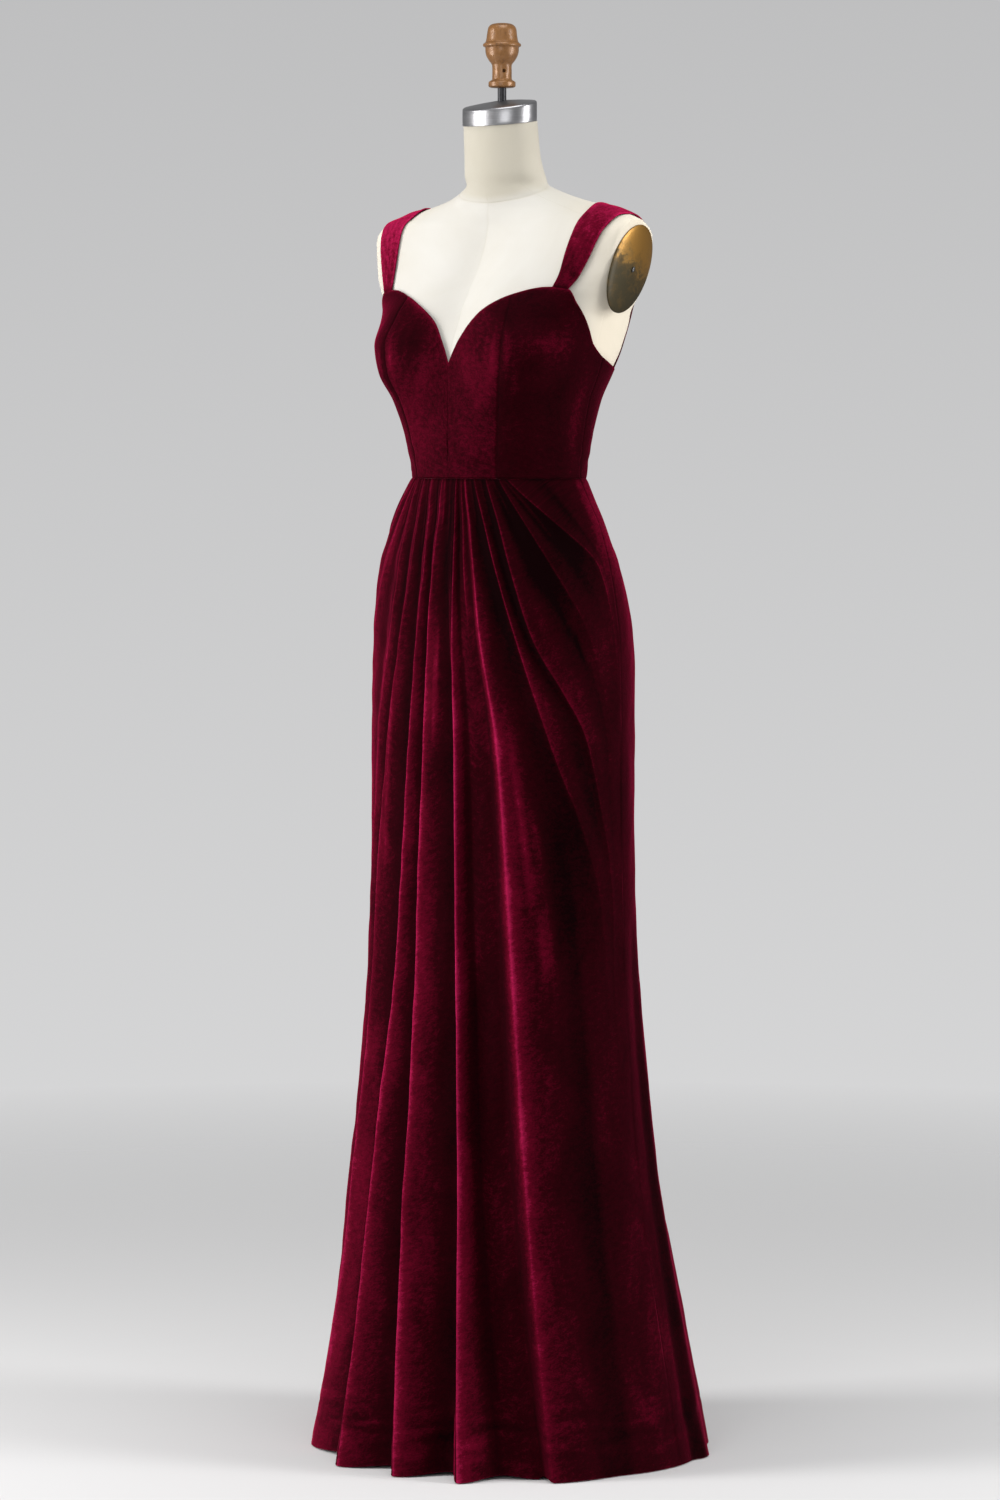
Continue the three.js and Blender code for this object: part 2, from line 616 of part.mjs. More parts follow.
// A solid turned round the vertical axis.
function turned(profile, segments, bottom) {
  const rings = profile.map((row) => {
    const ring = [];
    for (let c = 0; c < segments; c += 1) {
      const turn = (c / segments) * 2 * Math.PI;
      ring.push(new THREE.Vector3(row.radius * Math.sin(turn), -row.radius * Math.cos(turn), bottom + row.z));
    }
    return ring;
  });
  return ringSolid(rings);
}
const pinHole = wasm.Manifold.cylinder(8, 2, 2, 14)
  .rotate([90, 0, 0])
  .translate([0, -6, 0])
  .rotate([0, 0, 52])
  .translate([0, 0, 1698.5]);
add("finial", fromManifold(toManifold(turned(finialProfile, 22, 1678.5)).subtract(pinHole)), "wood", 0.45, 0);

// An arm plate is a low dome, oval, its long way leaning back, on the flat end of the arm stump.
function armPlate(profile, segments, back) {
  const lean = Math.atan(sizes.plateLean);
  const made = ringSolid(
    profile.map((row) => {
      const ring = [];
      for (let c = 0; c < segments; c += 1) {
        const turn = (c / segments) * 2 * Math.PI;
        ring.push(new THREE.Vector3(row.out, row.radius * 36.5 * Math.cos(turn), row.radius * 56 * Math.sin(turn)));
      }
      return ring;
    }),
  );
  made.rotateX(rad(-20));
  made.rotateY(lean);
  made.translate(sizes.plateOut, back, sizes.plateHeight);
  return made;
}
const plateProfile = [
  { out: 0.4, radius: 1 },
  { out: 2, radius: 1 },
  { out: 4.2, radius: 0.78 },
  { out: 5.8, radius: 0.42 },
  { out: 6.2, radius: 0.1 },
];
const screwProfile = [
  { out: 6.6, radius: 0.07 },
  { out: 7.6, radius: 0.07 },
  { out: 8, radius: 0.04 },
];
function flipped(geometry) {
  const made = geometry.clone();
  made.applyMatrix4(new THREE.Matrix4().makeScale(-1, 1, 1));
  const index = Array.from(made.index.array);
  for (let i = 0; i < index.length; i += 3) [index[i + 1], index[i + 2]] = [index[i + 2], index[i + 1]];
  made.setIndex(index);
  made.computeVertexNormals();
  return made;
}
add("arm_plate_left", armPlate(plateProfile, 26, sizes.plateBackLeft), "brass", 0.4, 0.9);
add("arm_plate_right", flipped(armPlate(plateProfile, 26, sizes.plateBackRight)), "brass", 0.4, 0.9);
add("plate_screw_left", armPlate(screwProfile, 8, sizes.plateBackLeft), "steel", 0.3, 1);
add("plate_screw_right", flipped(armPlate(screwProfile, 8, sizes.plateBackRight)), "steel", 0.3, 1);

// The stand under the skirt: a round foot, a collar and a pole up to the form's underside.
add("stand_pole", post(16, 12.3, sizes.formBottom - 0.3, 24), "darkSteel", 0.5, 0.8);
const footProfile = [
  { z: 0, radius: 168 },
  { z: 1.5, radius: 170 },
  { z: 8, radius: 170 },
  { z: 12, radius: 160 },
];
add("stand_foot", turned(footProfile, 40, 0), "darkSteel", 0.5, 0.8);
const collar = wasm.Manifold.cylinder(34, 30, 26, 24)
  .subtract(wasm.Manifold.cylinder(60, 16.4, 16.4, 24).translate([0, 0, -10]))
  .translate([0, 0, 12.3]);
add("stand_collar", fromManifold(collar), "darkSteel", 0.5, 0.8);

export default part;
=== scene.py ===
import math

import bpy
import numpy as np
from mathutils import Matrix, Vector


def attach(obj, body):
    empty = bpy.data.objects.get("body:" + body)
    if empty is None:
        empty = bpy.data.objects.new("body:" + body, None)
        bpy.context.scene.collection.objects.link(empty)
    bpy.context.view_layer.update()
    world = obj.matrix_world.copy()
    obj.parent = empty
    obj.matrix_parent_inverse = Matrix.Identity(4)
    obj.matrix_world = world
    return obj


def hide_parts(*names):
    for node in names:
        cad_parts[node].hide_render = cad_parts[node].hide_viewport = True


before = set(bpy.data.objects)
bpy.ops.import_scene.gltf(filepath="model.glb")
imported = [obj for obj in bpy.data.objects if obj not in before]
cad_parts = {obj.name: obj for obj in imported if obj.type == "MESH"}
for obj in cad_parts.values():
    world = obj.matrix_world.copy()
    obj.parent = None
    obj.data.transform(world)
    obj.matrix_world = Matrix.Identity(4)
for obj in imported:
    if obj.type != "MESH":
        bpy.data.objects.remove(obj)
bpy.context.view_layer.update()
print("stage: frame loaded")

# Lengths are in millimetres and angles in degrees, as in the part's source. An angle is seen from
# above, 0 at the front and growing towards the wearer's left. Meshes are put in metres at the end.
cloth = {
    "wall": 2.0,
    "seamGap": 0.12,  # between two sewn panels
    "waistGap": 0.08,
    "bodiceEase": 2.0,  # air between the form and the bodice
    "strapEase": 1.3,
    "waistHeight": 1200.0,
    "sideSeam": 95.0,
    "backPrincess": 142.0,
    "seamDip": 0.5,  # how far a seam pulls the cloth in
    "seamWidth": 1.8,
    "edgeRoll": 0.5,  # how far a turned edge bulges
}

formTable = {
    "z": [870, 975, 1050, 1100, 1150, 1200, 1246.3, 1294.5, 1328, 1361.4, 1396.9, 1428.4, 1454, 1480,
          1499, 1513, 1522.5, 1532, 1542, 1552, 1560, 1572, 1598, 1647.9],
    "side": [169, 170, 161, 150, 135, 113, 117, 126, 139, 149, 156, 157, 160, 171, 183, 190, 174, 143,
             103, 74, 56.5, 54, 50.5, 49.5],
    "front": [113, 113, 112, 110, 104, 99, 99, 98, 98, 95, 86, 73, 62, 54, 50, 49, 49.5, 48.5, 48, 46.5,
              45, 43, 40.5, 38],
    "back": [126, 128, 121, 104, 86, 78, 83, 94, 103, 110, 113, 111, 100, 89, 77, 66, 58, 50, 45, 42,
             41.5, 41, 40, 37],
    "centre": [0, 0, 0, 0, 0, 0, 0, 0, 0, 0, 0, 2, 6, 11, 16, 20, 22, 22, 20, 15.5, 11.5, 6, 0.5, -4],
    "squareFront": [2, 2, 2, 2, 2, 2, 2, 2.1, 2.2, 2.35, 2.5, 2.75, 3, 3.2, 3, 2.4, 1.75, 1.5, 1.5,
                    1.65, 1.85, 2, 2, 2],
    "squareBack": [2, 2, 2, 2, 2, 2, 2.15, 2.25, 2.4, 2.8, 3, 2.9, 2.6, 2.4, 2.1, 1.8, 1.6, 1.5, 1.5,
                   1.65, 1.85, 2, 2, 2],
    "bust": [0] * 6 + [6, 17.5, 29, 31, 20, 10, 3] + [0] * 11,
    "arm": [0] * 10 + [4, 27, 38, 33, 25, 10] + [0] * 8,
    "hollow": [0] * 9 + [2, 7, 8, 9, 8, 5, 2] + [0] * 8,
}

skirtTable = {
    "z": [0, 150, 300, 450, 600, 750, 850, 930, 1000, 1048, 1098, 1123, 1148, 1173, 1200],
    "left": [268, 238, 212, 195, 184, 180, 179, 178, 176, 170, 160, 153, 144, 130.5, 117],
    "right": [234, 221, 211, 199, 187, 180, 178, 178, 177, 171, 161, 153, 144, 132, 117],
    "front": [219, 182, 157, 142, 134, 132, 131, 131, 130, 129, 125, 121, 116, 111, 103],
    "back": [228, 204, 177, 155, 141, 135, 135, 136, 136, 131, 115, 100, 92, 87, 82],
}

edgeTable = {
    "angle": [0, 4, 9.3, 18, 31, 47, 64, 70.9, 73.8, 77.3, 81, 85.5, 96, 110, 130, 155, 180],
    "z": [1338.5, 1354, 1370, 1390, 1409, 1423.5, 1431.5, 1428.5, 1413.5, 1399, 1381, 1363, 1346.5,
          1335.8, 1329, 1326, 1325],
}
princessTable = {"z": [1195, 1276.8, 1350.6, 1415.6, 1436.3], "angle": [36, 38, 39.5, 45, 50]}


def monotoneCurve(xs, ys):
    # A cubic between neighbouring points. Its inner slopes are the harmonic means of the steps on
    # both sides, and 0 where the steps turn, so that no value overshoots.
    xs = np.asarray(xs, float)
    ys = np.asarray(ys, float)
    step = np.diff(ys) / np.diff(xs)
    slope = np.zeros(len(xs))
    before, after = step[:-1], step[1:]
    turning = before * after <= 0
    slope[1:-1] = np.where(turning, 0, 2 * before * after / np.where(turning, 1, before + after))
    slope[0], slope[-1] = step[0], step[-1]

    def at(x):
        x = np.clip(x, xs[0], xs[-1])
        i = np.clip(np.searchsorted(xs, x, side="left") - 1, 0, len(xs) - 2)
        w = xs[i + 1] - xs[i]
        t = (x - xs[i]) / w
        u = 1 - t
        held = ys[i] * (1 + 2 * t) * u * u + ys[i + 1] * (3 - 2 * t) * t * t
        return held + slope[i] * w * t * u * u - slope[i + 1] * w * t * t * u

    return at


def columnCurves(table, by):
    return {key: monotoneCurve(table[by], table[key]) for key in table if key != by}


formAt = columnCurves(formTable, "z")
skirtAt = columnCurves(skirtTable, "z")
edgeHeight = monotoneCurve(edgeTable["angle"], edgeTable["z"])
princessAngle = monotoneCurve(princessTable["z"], princessTable["angle"])


def smoothStep(t):
    t = np.clip(t, 0, 1)
    return t * t * (3 - 2 * t)


def bell(distance, width):
    return np.exp(-(distance / width) ** 2)


def reach(angle, half, depth, square):
    # A superellipse's radius towards an angle: (|sin/half|^n + |cos/depth|^n)^(-1/n).
    s = np.abs(np.sin(np.radians(angle))) / half
    c = np.abs(np.cos(np.radians(angle))) / depth
    return (s ** square + c ** square) ** (-1 / square)


plates = {"height": 1454.0, "out": 186.5, "lean": 0.17, "tilt": -20.0, "half": 36.5, "tall": 56.0,
          "back": {1: 16.5, -1: 24.5}}  # how far back each side's plate is


def formPoint(angle, z):
    # A superellipse, plus the two lobes of the bust and the arm stumps, cut off flat at the plates.
    angle, z = np.broadcast_arrays(np.asarray(angle, float), np.asarray(z, float))
    forward = np.cos(np.radians(angle)) >= 0
    square = np.where(forward, formAt["squareFront"](z), formAt["squareBack"](z))
    depth = np.where(forward, formAt["front"](z), formAt["back"](z))
    away = np.abs((angle + 540) % 360 - 180)
    bust = formAt["bust"](z) * bell(away - 44, 25)
    arm = formAt["arm"](z) * np.exp(-np.abs((away - 95) / np.where(away < 95, 20.5, 24)) ** 2.6)
    hollow = formAt["hollow"](z) * bell(away, 32)
    r = reach(angle, formAt["side"](z), depth, square) + bust + arm - hollow
    wall = plates["out"] + plates["lean"] * (z - plates["height"])
    x = r * np.sin(np.radians(angle))
    x = np.sign(x) * np.minimum(np.abs(x), wall)
    return np.stack([x, formAt["centre"](z) - r * np.cos(np.radians(angle)), z], -1)


def unit(v):
    return v / np.maximum(np.linalg.norm(v, axis=-1, keepdims=True), 1e-12)


def polar(radius, turn, z):
    # Points so far out at these turns in radians, 0 at the front.
    return np.stack([radius * np.sin(turn), -radius * np.cos(turn), z + 0 * turn], -1)


def turns(count):
    return np.radians(np.linspace(0, 360, count + 1)[:-1])


def level(n):
    return unit(n * (1, 1, 0))


def placeOnSide(side, outer, inner, mark):
    # The wearer's right is the mirror image, with its columns turned round so that it faces out.
    if side > 0:
        return outer, inner, mark
    return outer[:, ::-1] * (-1, 1, 1), inner[:, ::-1] * (-1, 1, 1), mark[:, ::-1]


def surfaceNormal(point, u, v, du, dv):
    # The cross product of the surface's differences along u and along v.
    along = point(u + du, v) - point(u - du, v)
    up = point(u, v + dv) - point(u, v - dv)
    return unit(np.cross(along, up))


def bodicePoint(angle, z):
    # The bodice's outer face lies a fixed way off the form, measured level.
    n = surfaceNormal(formPoint, angle, np.maximum(z, cloth["waistHeight"] + 2), 0.6, 1)
    return formPoint(angle, z) + level(n) * (cloth["bodiceEase"] + cloth["wall"])


def skirtReach(angle, z):
    sine, cosine = np.sin(np.radians(angle)), np.cos(np.radians(angle))
    side = np.where(sine >= 0, skirtAt["left"](z), skirtAt["right"](z))
    return reach(angle, side, np.where(cosine >= 0, skirtAt["front"](z), skirtAt["back"](z)), 2)


def waves(across, down, seed, shortest, longest, count=6):
    # A sum of plane waves with seeded directions and phases, about 1 high. Lengths in millimetres.
    rng = np.random.default_rng(seed)
    total = np.zeros(np.broadcast(across, down).shape)
    for length in np.linspace(shortest, longest, count):
        turn, phase = rng.uniform(0, np.pi), rng.uniform(0, 2 * np.pi)
        total = total + np.sin((across * np.cos(turn) + down * np.sin(turn)) * 2 * np.pi / length + phase)
    return total / np.sqrt(count)


def closeAtEnds(count, length, offsets=(0.5, 1.1, 1.9, 3.0, 4.6), low=True, high=True):
    # Even shares from 0 to 1, with more of them near an end, at these distances in millimetres.
    near = np.array(offsets) / length
    shares = [np.linspace(0, 1, count)]
    shares += [near] if low else []
    shares += [1 - near] if high else []
    shares = np.unique(np.round(np.concatenate(shares), 6))
    keep = np.concatenate([[True], np.diff(shares) > 0.2 / length])
    shares = shares[keep]
    shares[-1] = 1
    return shares


def runLengths(points):
    # How far along each row and up each column every point of a grid lies.
    across = np.zeros(points.shape[:2])
    up = np.zeros(points.shape[:2])
    across[:, 1:] = np.cumsum(np.linalg.norm(np.diff(points, axis=1), axis=-1), axis=1)
    up[1:] = np.cumsum(np.linalg.norm(np.diff(points, axis=0), axis=-1), axis=0)
    return across, up


def gridFaces(rows, cols, start, step=1):
    # One quad for each cell of a grid, turned the other way for an inner face.
    r, c = np.meshgrid(np.arange(rows - 1), np.arange(cols - 1), indexing="ij")
    a = (start + r * cols + c).ravel()
    quads = np.stack([a, a + 1, a + cols + 1, a + cols], -1)
    return quads if step > 0 else quads[:, ::-1]


def borderLoop(rows, cols):
    # The grid's border points, anticlockwise as seen from outside.
    bottom = np.arange(cols - 1)
    right = np.arange(rows - 1) * cols + cols - 1
    top = (rows - 1) * cols + np.arange(cols - 1, 0, -1)
    left = np.arange(rows - 1, 0, -1) * cols
    return np.concatenate([bottom, right, top, left])


def makeMesh(name, points, quads, triangles=None, uv=None, marks=None, sharp=55):
    # Puts arrays of points in millimetres and faces into a smooth mesh object in metres.
    mesh = bpy.data.meshes.new(name)
    triangles = np.zeros((0, 3), int) if triangles is None else np.asarray(triangles)
    quads = np.asarray(quads).reshape(-1, 4)
    corners = np.concatenate([quads.ravel(), triangles.ravel()]).astype(np.int32)
    sizes = np.concatenate([np.full(len(quads), 4), np.full(len(triangles), 3)]).astype(np.int32)
    mesh.vertices.add(len(points))
    mesh.vertices.foreach_set("co", (np.asarray(points) / 1000).astype(np.float32).ravel())
    mesh.loops.add(len(corners))
    mesh.loops.foreach_set("vertex_index", corners)
    mesh.polygons.add(len(sizes))
    mesh.polygons.foreach_set("loop_start", (np.cumsum(sizes) - sizes).astype(np.int32))
    mesh.update(calc_edges=True)
    mesh.validate()
    mesh.shade_smooth()
    mesh.set_sharp_from_angle(angle=math.radians(sharp))
    if uv is not None:
        layer = mesh.uv_layers.new(name="cloth")
        layer.data.foreach_set("uv", (np.asarray(uv)[corners] / 1000).astype(np.float32).ravel())
    for key, values in (marks or {}).items():
        mesh.attributes.new(key, "FLOAT", "POINT").data.foreach_set("value", np.asarray(values, np.float32))
    made = bpy.data.objects.new(name, mesh)
    bpy.context.scene.collection.objects.link(made)
    return made


def clothWall(name, outer, inner, free, marks, uvStart=(0, 0)):
    # A closed wall: the outer grid, the inner grid, and round the border a rim through middle points
    # that bulge by edgeRoll where the border is free. free names its free sides: low, high, first, last.
    rows, cols = outer.shape[:2]
    count = rows * cols
    loop = borderLoop(rows, cols)
    out = np.zeros_like(outer)
    out[0] += unit(outer[0] - outer[1]) * (1 if "low" in free else 0.02)
    out[-1] += unit(outer[-1] - outer[-2]) * (1 if "high" in free else 0.02)
    out[:, 0] += unit(outer[:, 0] - outer[:, 1]) * (1 if "first" in free else 0.02)
    out[:, -1] += unit(outer[:, -1] - outer[:, -2]) * (1 if "last" in free else 0.02)
    middle = ((outer + inner) / 2 + out * cloth["edgeRoll"]).reshape(-1, 3)[loop]
    points = np.concatenate([outer.reshape(-1, 3), inner.reshape(-1, 3), middle])
    nextLoop = np.roll(loop, -1)
    rim = 2 * count + np.arange(len(loop))
    nextRim = np.roll(rim, -1)
    quads = np.concatenate([
        gridFaces(rows, cols, 0),
        gridFaces(rows, cols, count, -1),
        np.stack([rim, nextRim, nextLoop, loop], -1),
        np.stack([loop + count, nextLoop + count, nextRim, rim], -1),
    ])
    across, up = runLengths(outer)
    flat = np.stack([across + uvStart[0], up + uvStart[1]], -1).reshape(-1, 2)
    uv = np.concatenate([flat, flat, flat[loop]])
    full = {}
    for key, values in marks.items():
        values = np.broadcast_to(values, (rows, cols)).ravel()
        full[key] = np.concatenate([values, np.zeros(count), values[loop]])
    return makeMesh(name, points, quads, uv=uv, marks=full)


# Materials
def newMaterial(name):
    made = bpy.data.materials.new(name)
    made.use_nodes = True
    tree = made.node_tree
    return made, tree, tree.nodes["Principled BSDF"]


def addNode(tree, kind, values=None, **settings):
    made = tree.nodes.new(kind)
    for key, value in settings.items():
        setattr(made, key, value)
    for key, value in (values or {}).items():
        made.inputs[key].default_value = value
    return made


def addNoise(tree, vector, scale, detail=3.0, roughness=0.55, distortion=0.0):
    made = addNode(tree, "ShaderNodeTexNoise", {"Scale": scale, "Detail": detail, "Roughness": roughness,
                                                "Distortion": distortion})
    tree.links.new(vector, made.inputs["Vector"])
    return made.outputs["Fac"]


def addMath(tree, operation, a, b):
    made = addNode(tree, "ShaderNodeMath", operation=operation)
    for i, value in enumerate((a, b)):
        if isinstance(value, (int, float)):
            made.inputs[i].default_value = value
        else:
            tree.links.new(value, made.inputs[i])
    return made.outputs[0]


def addSum(tree, *terms):
    # Adds up, from the first on, numbers and pairs of a value and its factor.
    total = None
    for term in terms:
        value = addMath(tree, "MULTIPLY", *term) if isinstance(term, tuple) else term
        total = value if total is None else addMath(tree, "ADD", total, value)
    return total


def addRamp(tree, value, *stops):
    # stops: pairs of a place and a colour, from dark to light. A number stands for a grey.
    made = addNode(tree, "ShaderNodeValToRGB")
    ramp = made.color_ramp
    while len(ramp.elements) < len(stops):
        ramp.elements.new(0.5)
    for element, (place, colour) in zip(ramp.elements, stops):
        element.position = place
        element.color = (*(colour if isinstance(colour, tuple) else (colour,) * 3), 1)
    tree.links.new(value, made.inputs["Fac"])
    return made.outputs["Color"]


def objectPlace(tree):
    return addNode(tree, "ShaderNodeTexCoord").outputs["Object"]


def readMark(tree, key):
    return addNode(tree, "ShaderNodeAttribute", attribute_name=key).outputs["Fac"]


def mixColours(tree, share, under, over, **settings):
    made = addNode(tree, "ShaderNodeMix", data_type="RGBA", **settings)
    tree.links.new(share, made.inputs["Factor"])
    tree.links.new(under, made.inputs["A"])
    made.inputs["B"].default_value = (*over, 1)
    return made.outputs["Result"]


def setShader(tree, shader, values):
    # Numbers and colours go straight in, and anything else is another node's output.
    for key, value in values.items():
        if isinstance(value, (int, float)):
            shader.inputs[key].default_value = value
        elif isinstance(value, tuple):
            shader.inputs[key].default_value = (*value, 1)
        else:
            tree.links.new(value, shader.inputs[key])


def addMapping(tree, vector, scale, turn=(0, 0, 0)):
    made = addNode(tree, "ShaderNodeMapping", {"Scale": scale, "Rotation": turn})
    tree.links.new(vector, made.inputs["Vector"])
    return made.outputs["Vector"]


def addBump(tree, shader, height, distance, strength, before=None):
    made = addNode(tree, "ShaderNodeBump", {"Distance": distance, "Strength": strength})
    tree.links.new(height, made.inputs["Height"])
    if before is not None:
        tree.links.new(before, made.inputs["Normal"])
    tree.links.new(made.outputs["Normal"], shader.inputs["Normal"])
    return made.outputs["Normal"]


# The tone ramp's colours run from painted shade in the folds, through the velvet's own body colour, to
# painted highlights along the crests.
velvetLook = {
    "deep": (0.003, 0.0, 0.0003),
    "body": (0.021, 0.0001, 0.0021),
    "lit": (0.10, 0.0012, 0.0115),
    "bright": (0.38, 0.010, 0.066),
    "crest": (0.62, 0.035, 0.16),
    "sheenTint": (1.0, 0.012, 0.13),
    "sheenWeight": 0.5,
    "sheenRoughness": 0.3,
    "patchScale": 9.0,
    "mottleScale": 130.0,
    "grainScale": 430.0,
}


def velvetMaterial(name, look):
    # The velvet's tone is a sum of brushed patches, mottling and the mark that each piece carries. The mark
    # is mostly painted light: a painted highlight above 0 on ridges and lit sides, painted shade below 0 in
    # folds.
    made, tree, shader = newMaterial(name)
    flat = addNode(tree, "ShaderNodeUVMap", uv_map="cloth").outputs["UV"]
    place = objectPlace(tree)
    patches = addNoise(tree, addMapping(tree, place, (1.6, 1.6, 0.8)), look["patchScale"], 3.0, 0.55, 0.8)
    mottle = addNoise(tree, addMapping(tree, flat, (1, 1.4, 1)), look["mottleScale"], 4.0, 0.65, 0.5)
    grain = addNoise(tree, addMapping(tree, flat, (1, 1.5, 1)), look["grainScale"], 3.0, 0.6)
    tone = addSum(tree, (patches, 0.38), -0.185, (mottle, 0.34), (grain, 0.3), (readMark(tree, "pile"), 0.42))
    colour = addRamp(tree, tone, (0.05, look["deep"]), (0.33, look["body"]), (0.55, look["lit"]),
                     (0.8, look["bright"]), (1.0, look["crest"]))
    setShader(tree, shader, {
        "Base Color": colour, "Roughness": 0.82, "Specular IOR Level": 0.02,
        "Sheen Weight": look["sheenWeight"], "Sheen Roughness": look["sheenRoughness"],
        "Sheen Tint": look["sheenTint"],
    })
    first = addBump(tree, shader, mottle, 0.0015, 0.3)
    addBump(tree, shader, grain, 0.0006, 0.4, first)
    return made


def linenMaterial():
    # Darker in the seams, a little darker and yellower on the neck and towards the sides and back, and
    # painted paler on the sides and back below the neck: painted light.
    made, tree, shader = newMaterial("formCover")
    place = objectPlace(tree)
    soil = addNoise(tree, place, 7.0, 4.0, 0.6, 0.5)
    weave = addNoise(tree, addMapping(tree, place, (1, 1, 1.6)), 1100.0, 2.0, 0.6)
    tone = addSum(tree, (soil, 0.7), (weave, 0.2), (readMark(tree, "seam"), -0.22))
    colour = addRamp(tree, tone, (0.0, (0.40, 0.36, 0.28)), (0.3, (0.555, 0.535, 0.485)),
                     (0.7, (0.62, 0.61, 0.583)))
    aged = mixColours(tree, readMark(tree, "aged"), colour, (0.88, 0.85, 0.77), blend_type="MULTIPLY")
    pale = mixColours(tree, readMark(tree, "pale"), aged, (0.78, 0.71, 0.58))
    setShader(tree, shader, {"Base Color": pale, "Roughness": 0.85, "Specular IOR Level": 0.2,
                             "Sheen Weight": 0.08})
    addBump(tree, shader, weave, 0.0004, 0.2)
    return made


def steelMaterial(name, low, high):
    made, tree, shader = newMaterial(name)
    brushed = addNoise(tree, addMapping(tree, objectPlace(tree), (1, 1, 60)), 40.0, 3.0, 0.6)
    colour = addRamp(tree, brushed, (0.25, (low, low, low * 1.04)), (0.75, (high, high, high * 1.03)))
    rough = addRamp(tree, brushed, (0.2, 0.28), (0.8, 0.4))
    setShader(tree, shader, {"Base Color": colour, "Roughness": rough, "Metallic": 1.0})
    addBump(tree, shader, brushed, 0.0002, 0.15)
    return made


def darkSteelMaterial():
    made, tree, shader = newMaterial("standSteel")
    specks = addNoise(tree, objectPlace(tree), 350.0, 3.0, 0.6)
    colour = addRamp(tree, specks, (0.3, (0.018, 0.018, 0.02)), (0.75, (0.045, 0.045, 0.05)))
    rough = addRamp(tree, specks, (0.2, 0.3), (0.8, 0.5))
    setShader(tree, shader, {"Base Color": colour, "Roughness": rough, "Metallic": 0.6})
    addBump(tree, shader, specks, 0.0002, 0.2)
    return made


def woodMaterial():
    made, tree, shader = newMaterial("finialWood")
    place = objectPlace(tree)
    grain = addNoise(tree, addMapping(tree, place, (1, 1, 0.22)), 330.0, 4.0, 0.6, 1.4)
    wear = addNoise(tree, place, 110.0, 5.0, 0.7, 0.6)
    tone = addSum(tree, (grain, 0.4), (wear, 0.6))
    colour = addRamp(tree, tone, (0.3, (0.06, 0.022, 0.004)), (0.45, (0.2, 0.085, 0.02)),
                     (0.7, (0.29, 0.135, 0.042)))
    setShader(tree, shader, {"Base Color": colour, "Roughness": addRamp(tree, wear, (0.3, 0.55), (0.6, 0.36)),
                             "Metallic": 0.2, "Coat Weight": 0.25, "Coat Roughness": 0.2})
    addBump(tree, shader, wear, 0.0008, 0.25)
    return made


def brassMaterial():
    # The lower part, on the front's side, is dark with age. The mark "age" is 1 there.
    made, tree, shader = newMaterial("plateBrass")
    place = objectPlace(tree)
    blotch = addNoise(tree, place, 90.0, 6.0, 0.7, 0.5)
    speck = addNoise(tree, place, 600.0, 4.0, 0.6)
    tone = addSum(tree, readMark(tree, "age"), (addMath(tree, "SUBTRACT", blotch, 0.5), 1.5),
                  (addMath(tree, "SUBTRACT", speck, 0.5), 0.3))
    colour = addRamp(tree, tone, (0.15, (0.25, 0.125, 0.02)), (0.42, (0.16, 0.085, 0.016)),
                     (0.56, (0.07, 0.042, 0.01)), (0.9, (0.033, 0.025, 0.009)))
    setShader(tree, shader, {"Base Color": colour, "Roughness": addRamp(tree, tone, (0.3, 0.32), (0.6, 0.55)),
                             "Metallic": 0.75, "Coat Weight": 0.12, "Coat Roughness": 0.25})
    addBump(tree, shader, blotch, 0.0004, 0.2)
    return made


velvet = velvetMaterial("velvet", velvetLook)
linen = linenMaterial()
steel = steelMaterial("capSteel", 0.31, 0.43)
screwSteel = steelMaterial("screwSteel", 0.07, 0.11)
darkSteel = darkSteelMaterial()
wood = woodMaterial()
brass = brassMaterial()
print("stage: materials made")


def finishPiece(piece, material, slot, *nodes):
    piece.data.materials.append(material)
    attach(piece, "root")
    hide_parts(*nodes)
    return piece


# Bodice
bodice = {
    "columnStep": 2.6,
    "rowStep": 2.8,
    # Soft ridges beside the front princess seam: degrees from it, where they start and end, the half
    # width, and the rise on the wearer's left and on the right.
    "puckers": [
        (-3.4, 1318, 1408, 3.4, 0.55, 0.9), (-7.2, 1335, 1402, 3.6, 0.5, 0.75),
        (-11.5, 1345, 1392, 4.0, 0.35, 0.6), (3.6, 1285, 1372, 3.6, 0.45, 0.95),
        (8.0, 1290, 1350, 4.5, 0.4, 0.8),
    ],
    "radius": 125.0,  # turns an angle into a way across
    "waistRadius": 115.0,
    "fitPasses": 14,  # how often a point is moved between its seams and its edges
    "centreSeam": 0.4,  # how deep the centre front seam is beside the others
    "drag": 0.5,  # the height of the soft drag lines near the waist
    # Soft patches of painted light and shade: the angle and height of the middle, how far they reach
    # across and up, and how much lighter they are painted on the wearer's left and on the right.
    "patches": [
        (57, 1405, 26, 20, -0.34, -0.1), (40, 1392, 16, 22, -0.26, -0.32), (28, 1372, 20, 24, -0.14, -0.34),
        (43, 1368, 5, 24, 0.3, 0.2), (36, 1352, 6, 24, 0.2, 0.3), (62, 1362, 24, 14, 0.26, 0.1),
        (52, 1335, 18, 10, -0.14, 0.1), (70, 1300, 14, 40, -0.12, 0.0), (86, 1275, 12, 60, 0.3, 0.1),
        (60, 1255, 26, 20, 0.12, 0.05), (18, 1330, 12, 22, 0.12, 0.1), (24, 1250, 18, 40, 0.05, 0.05),
        (52, 1375, 5, 30, 0.0, 0.45), (60, 1340, 6, 30, 0.0, 0.4),
    ],
}


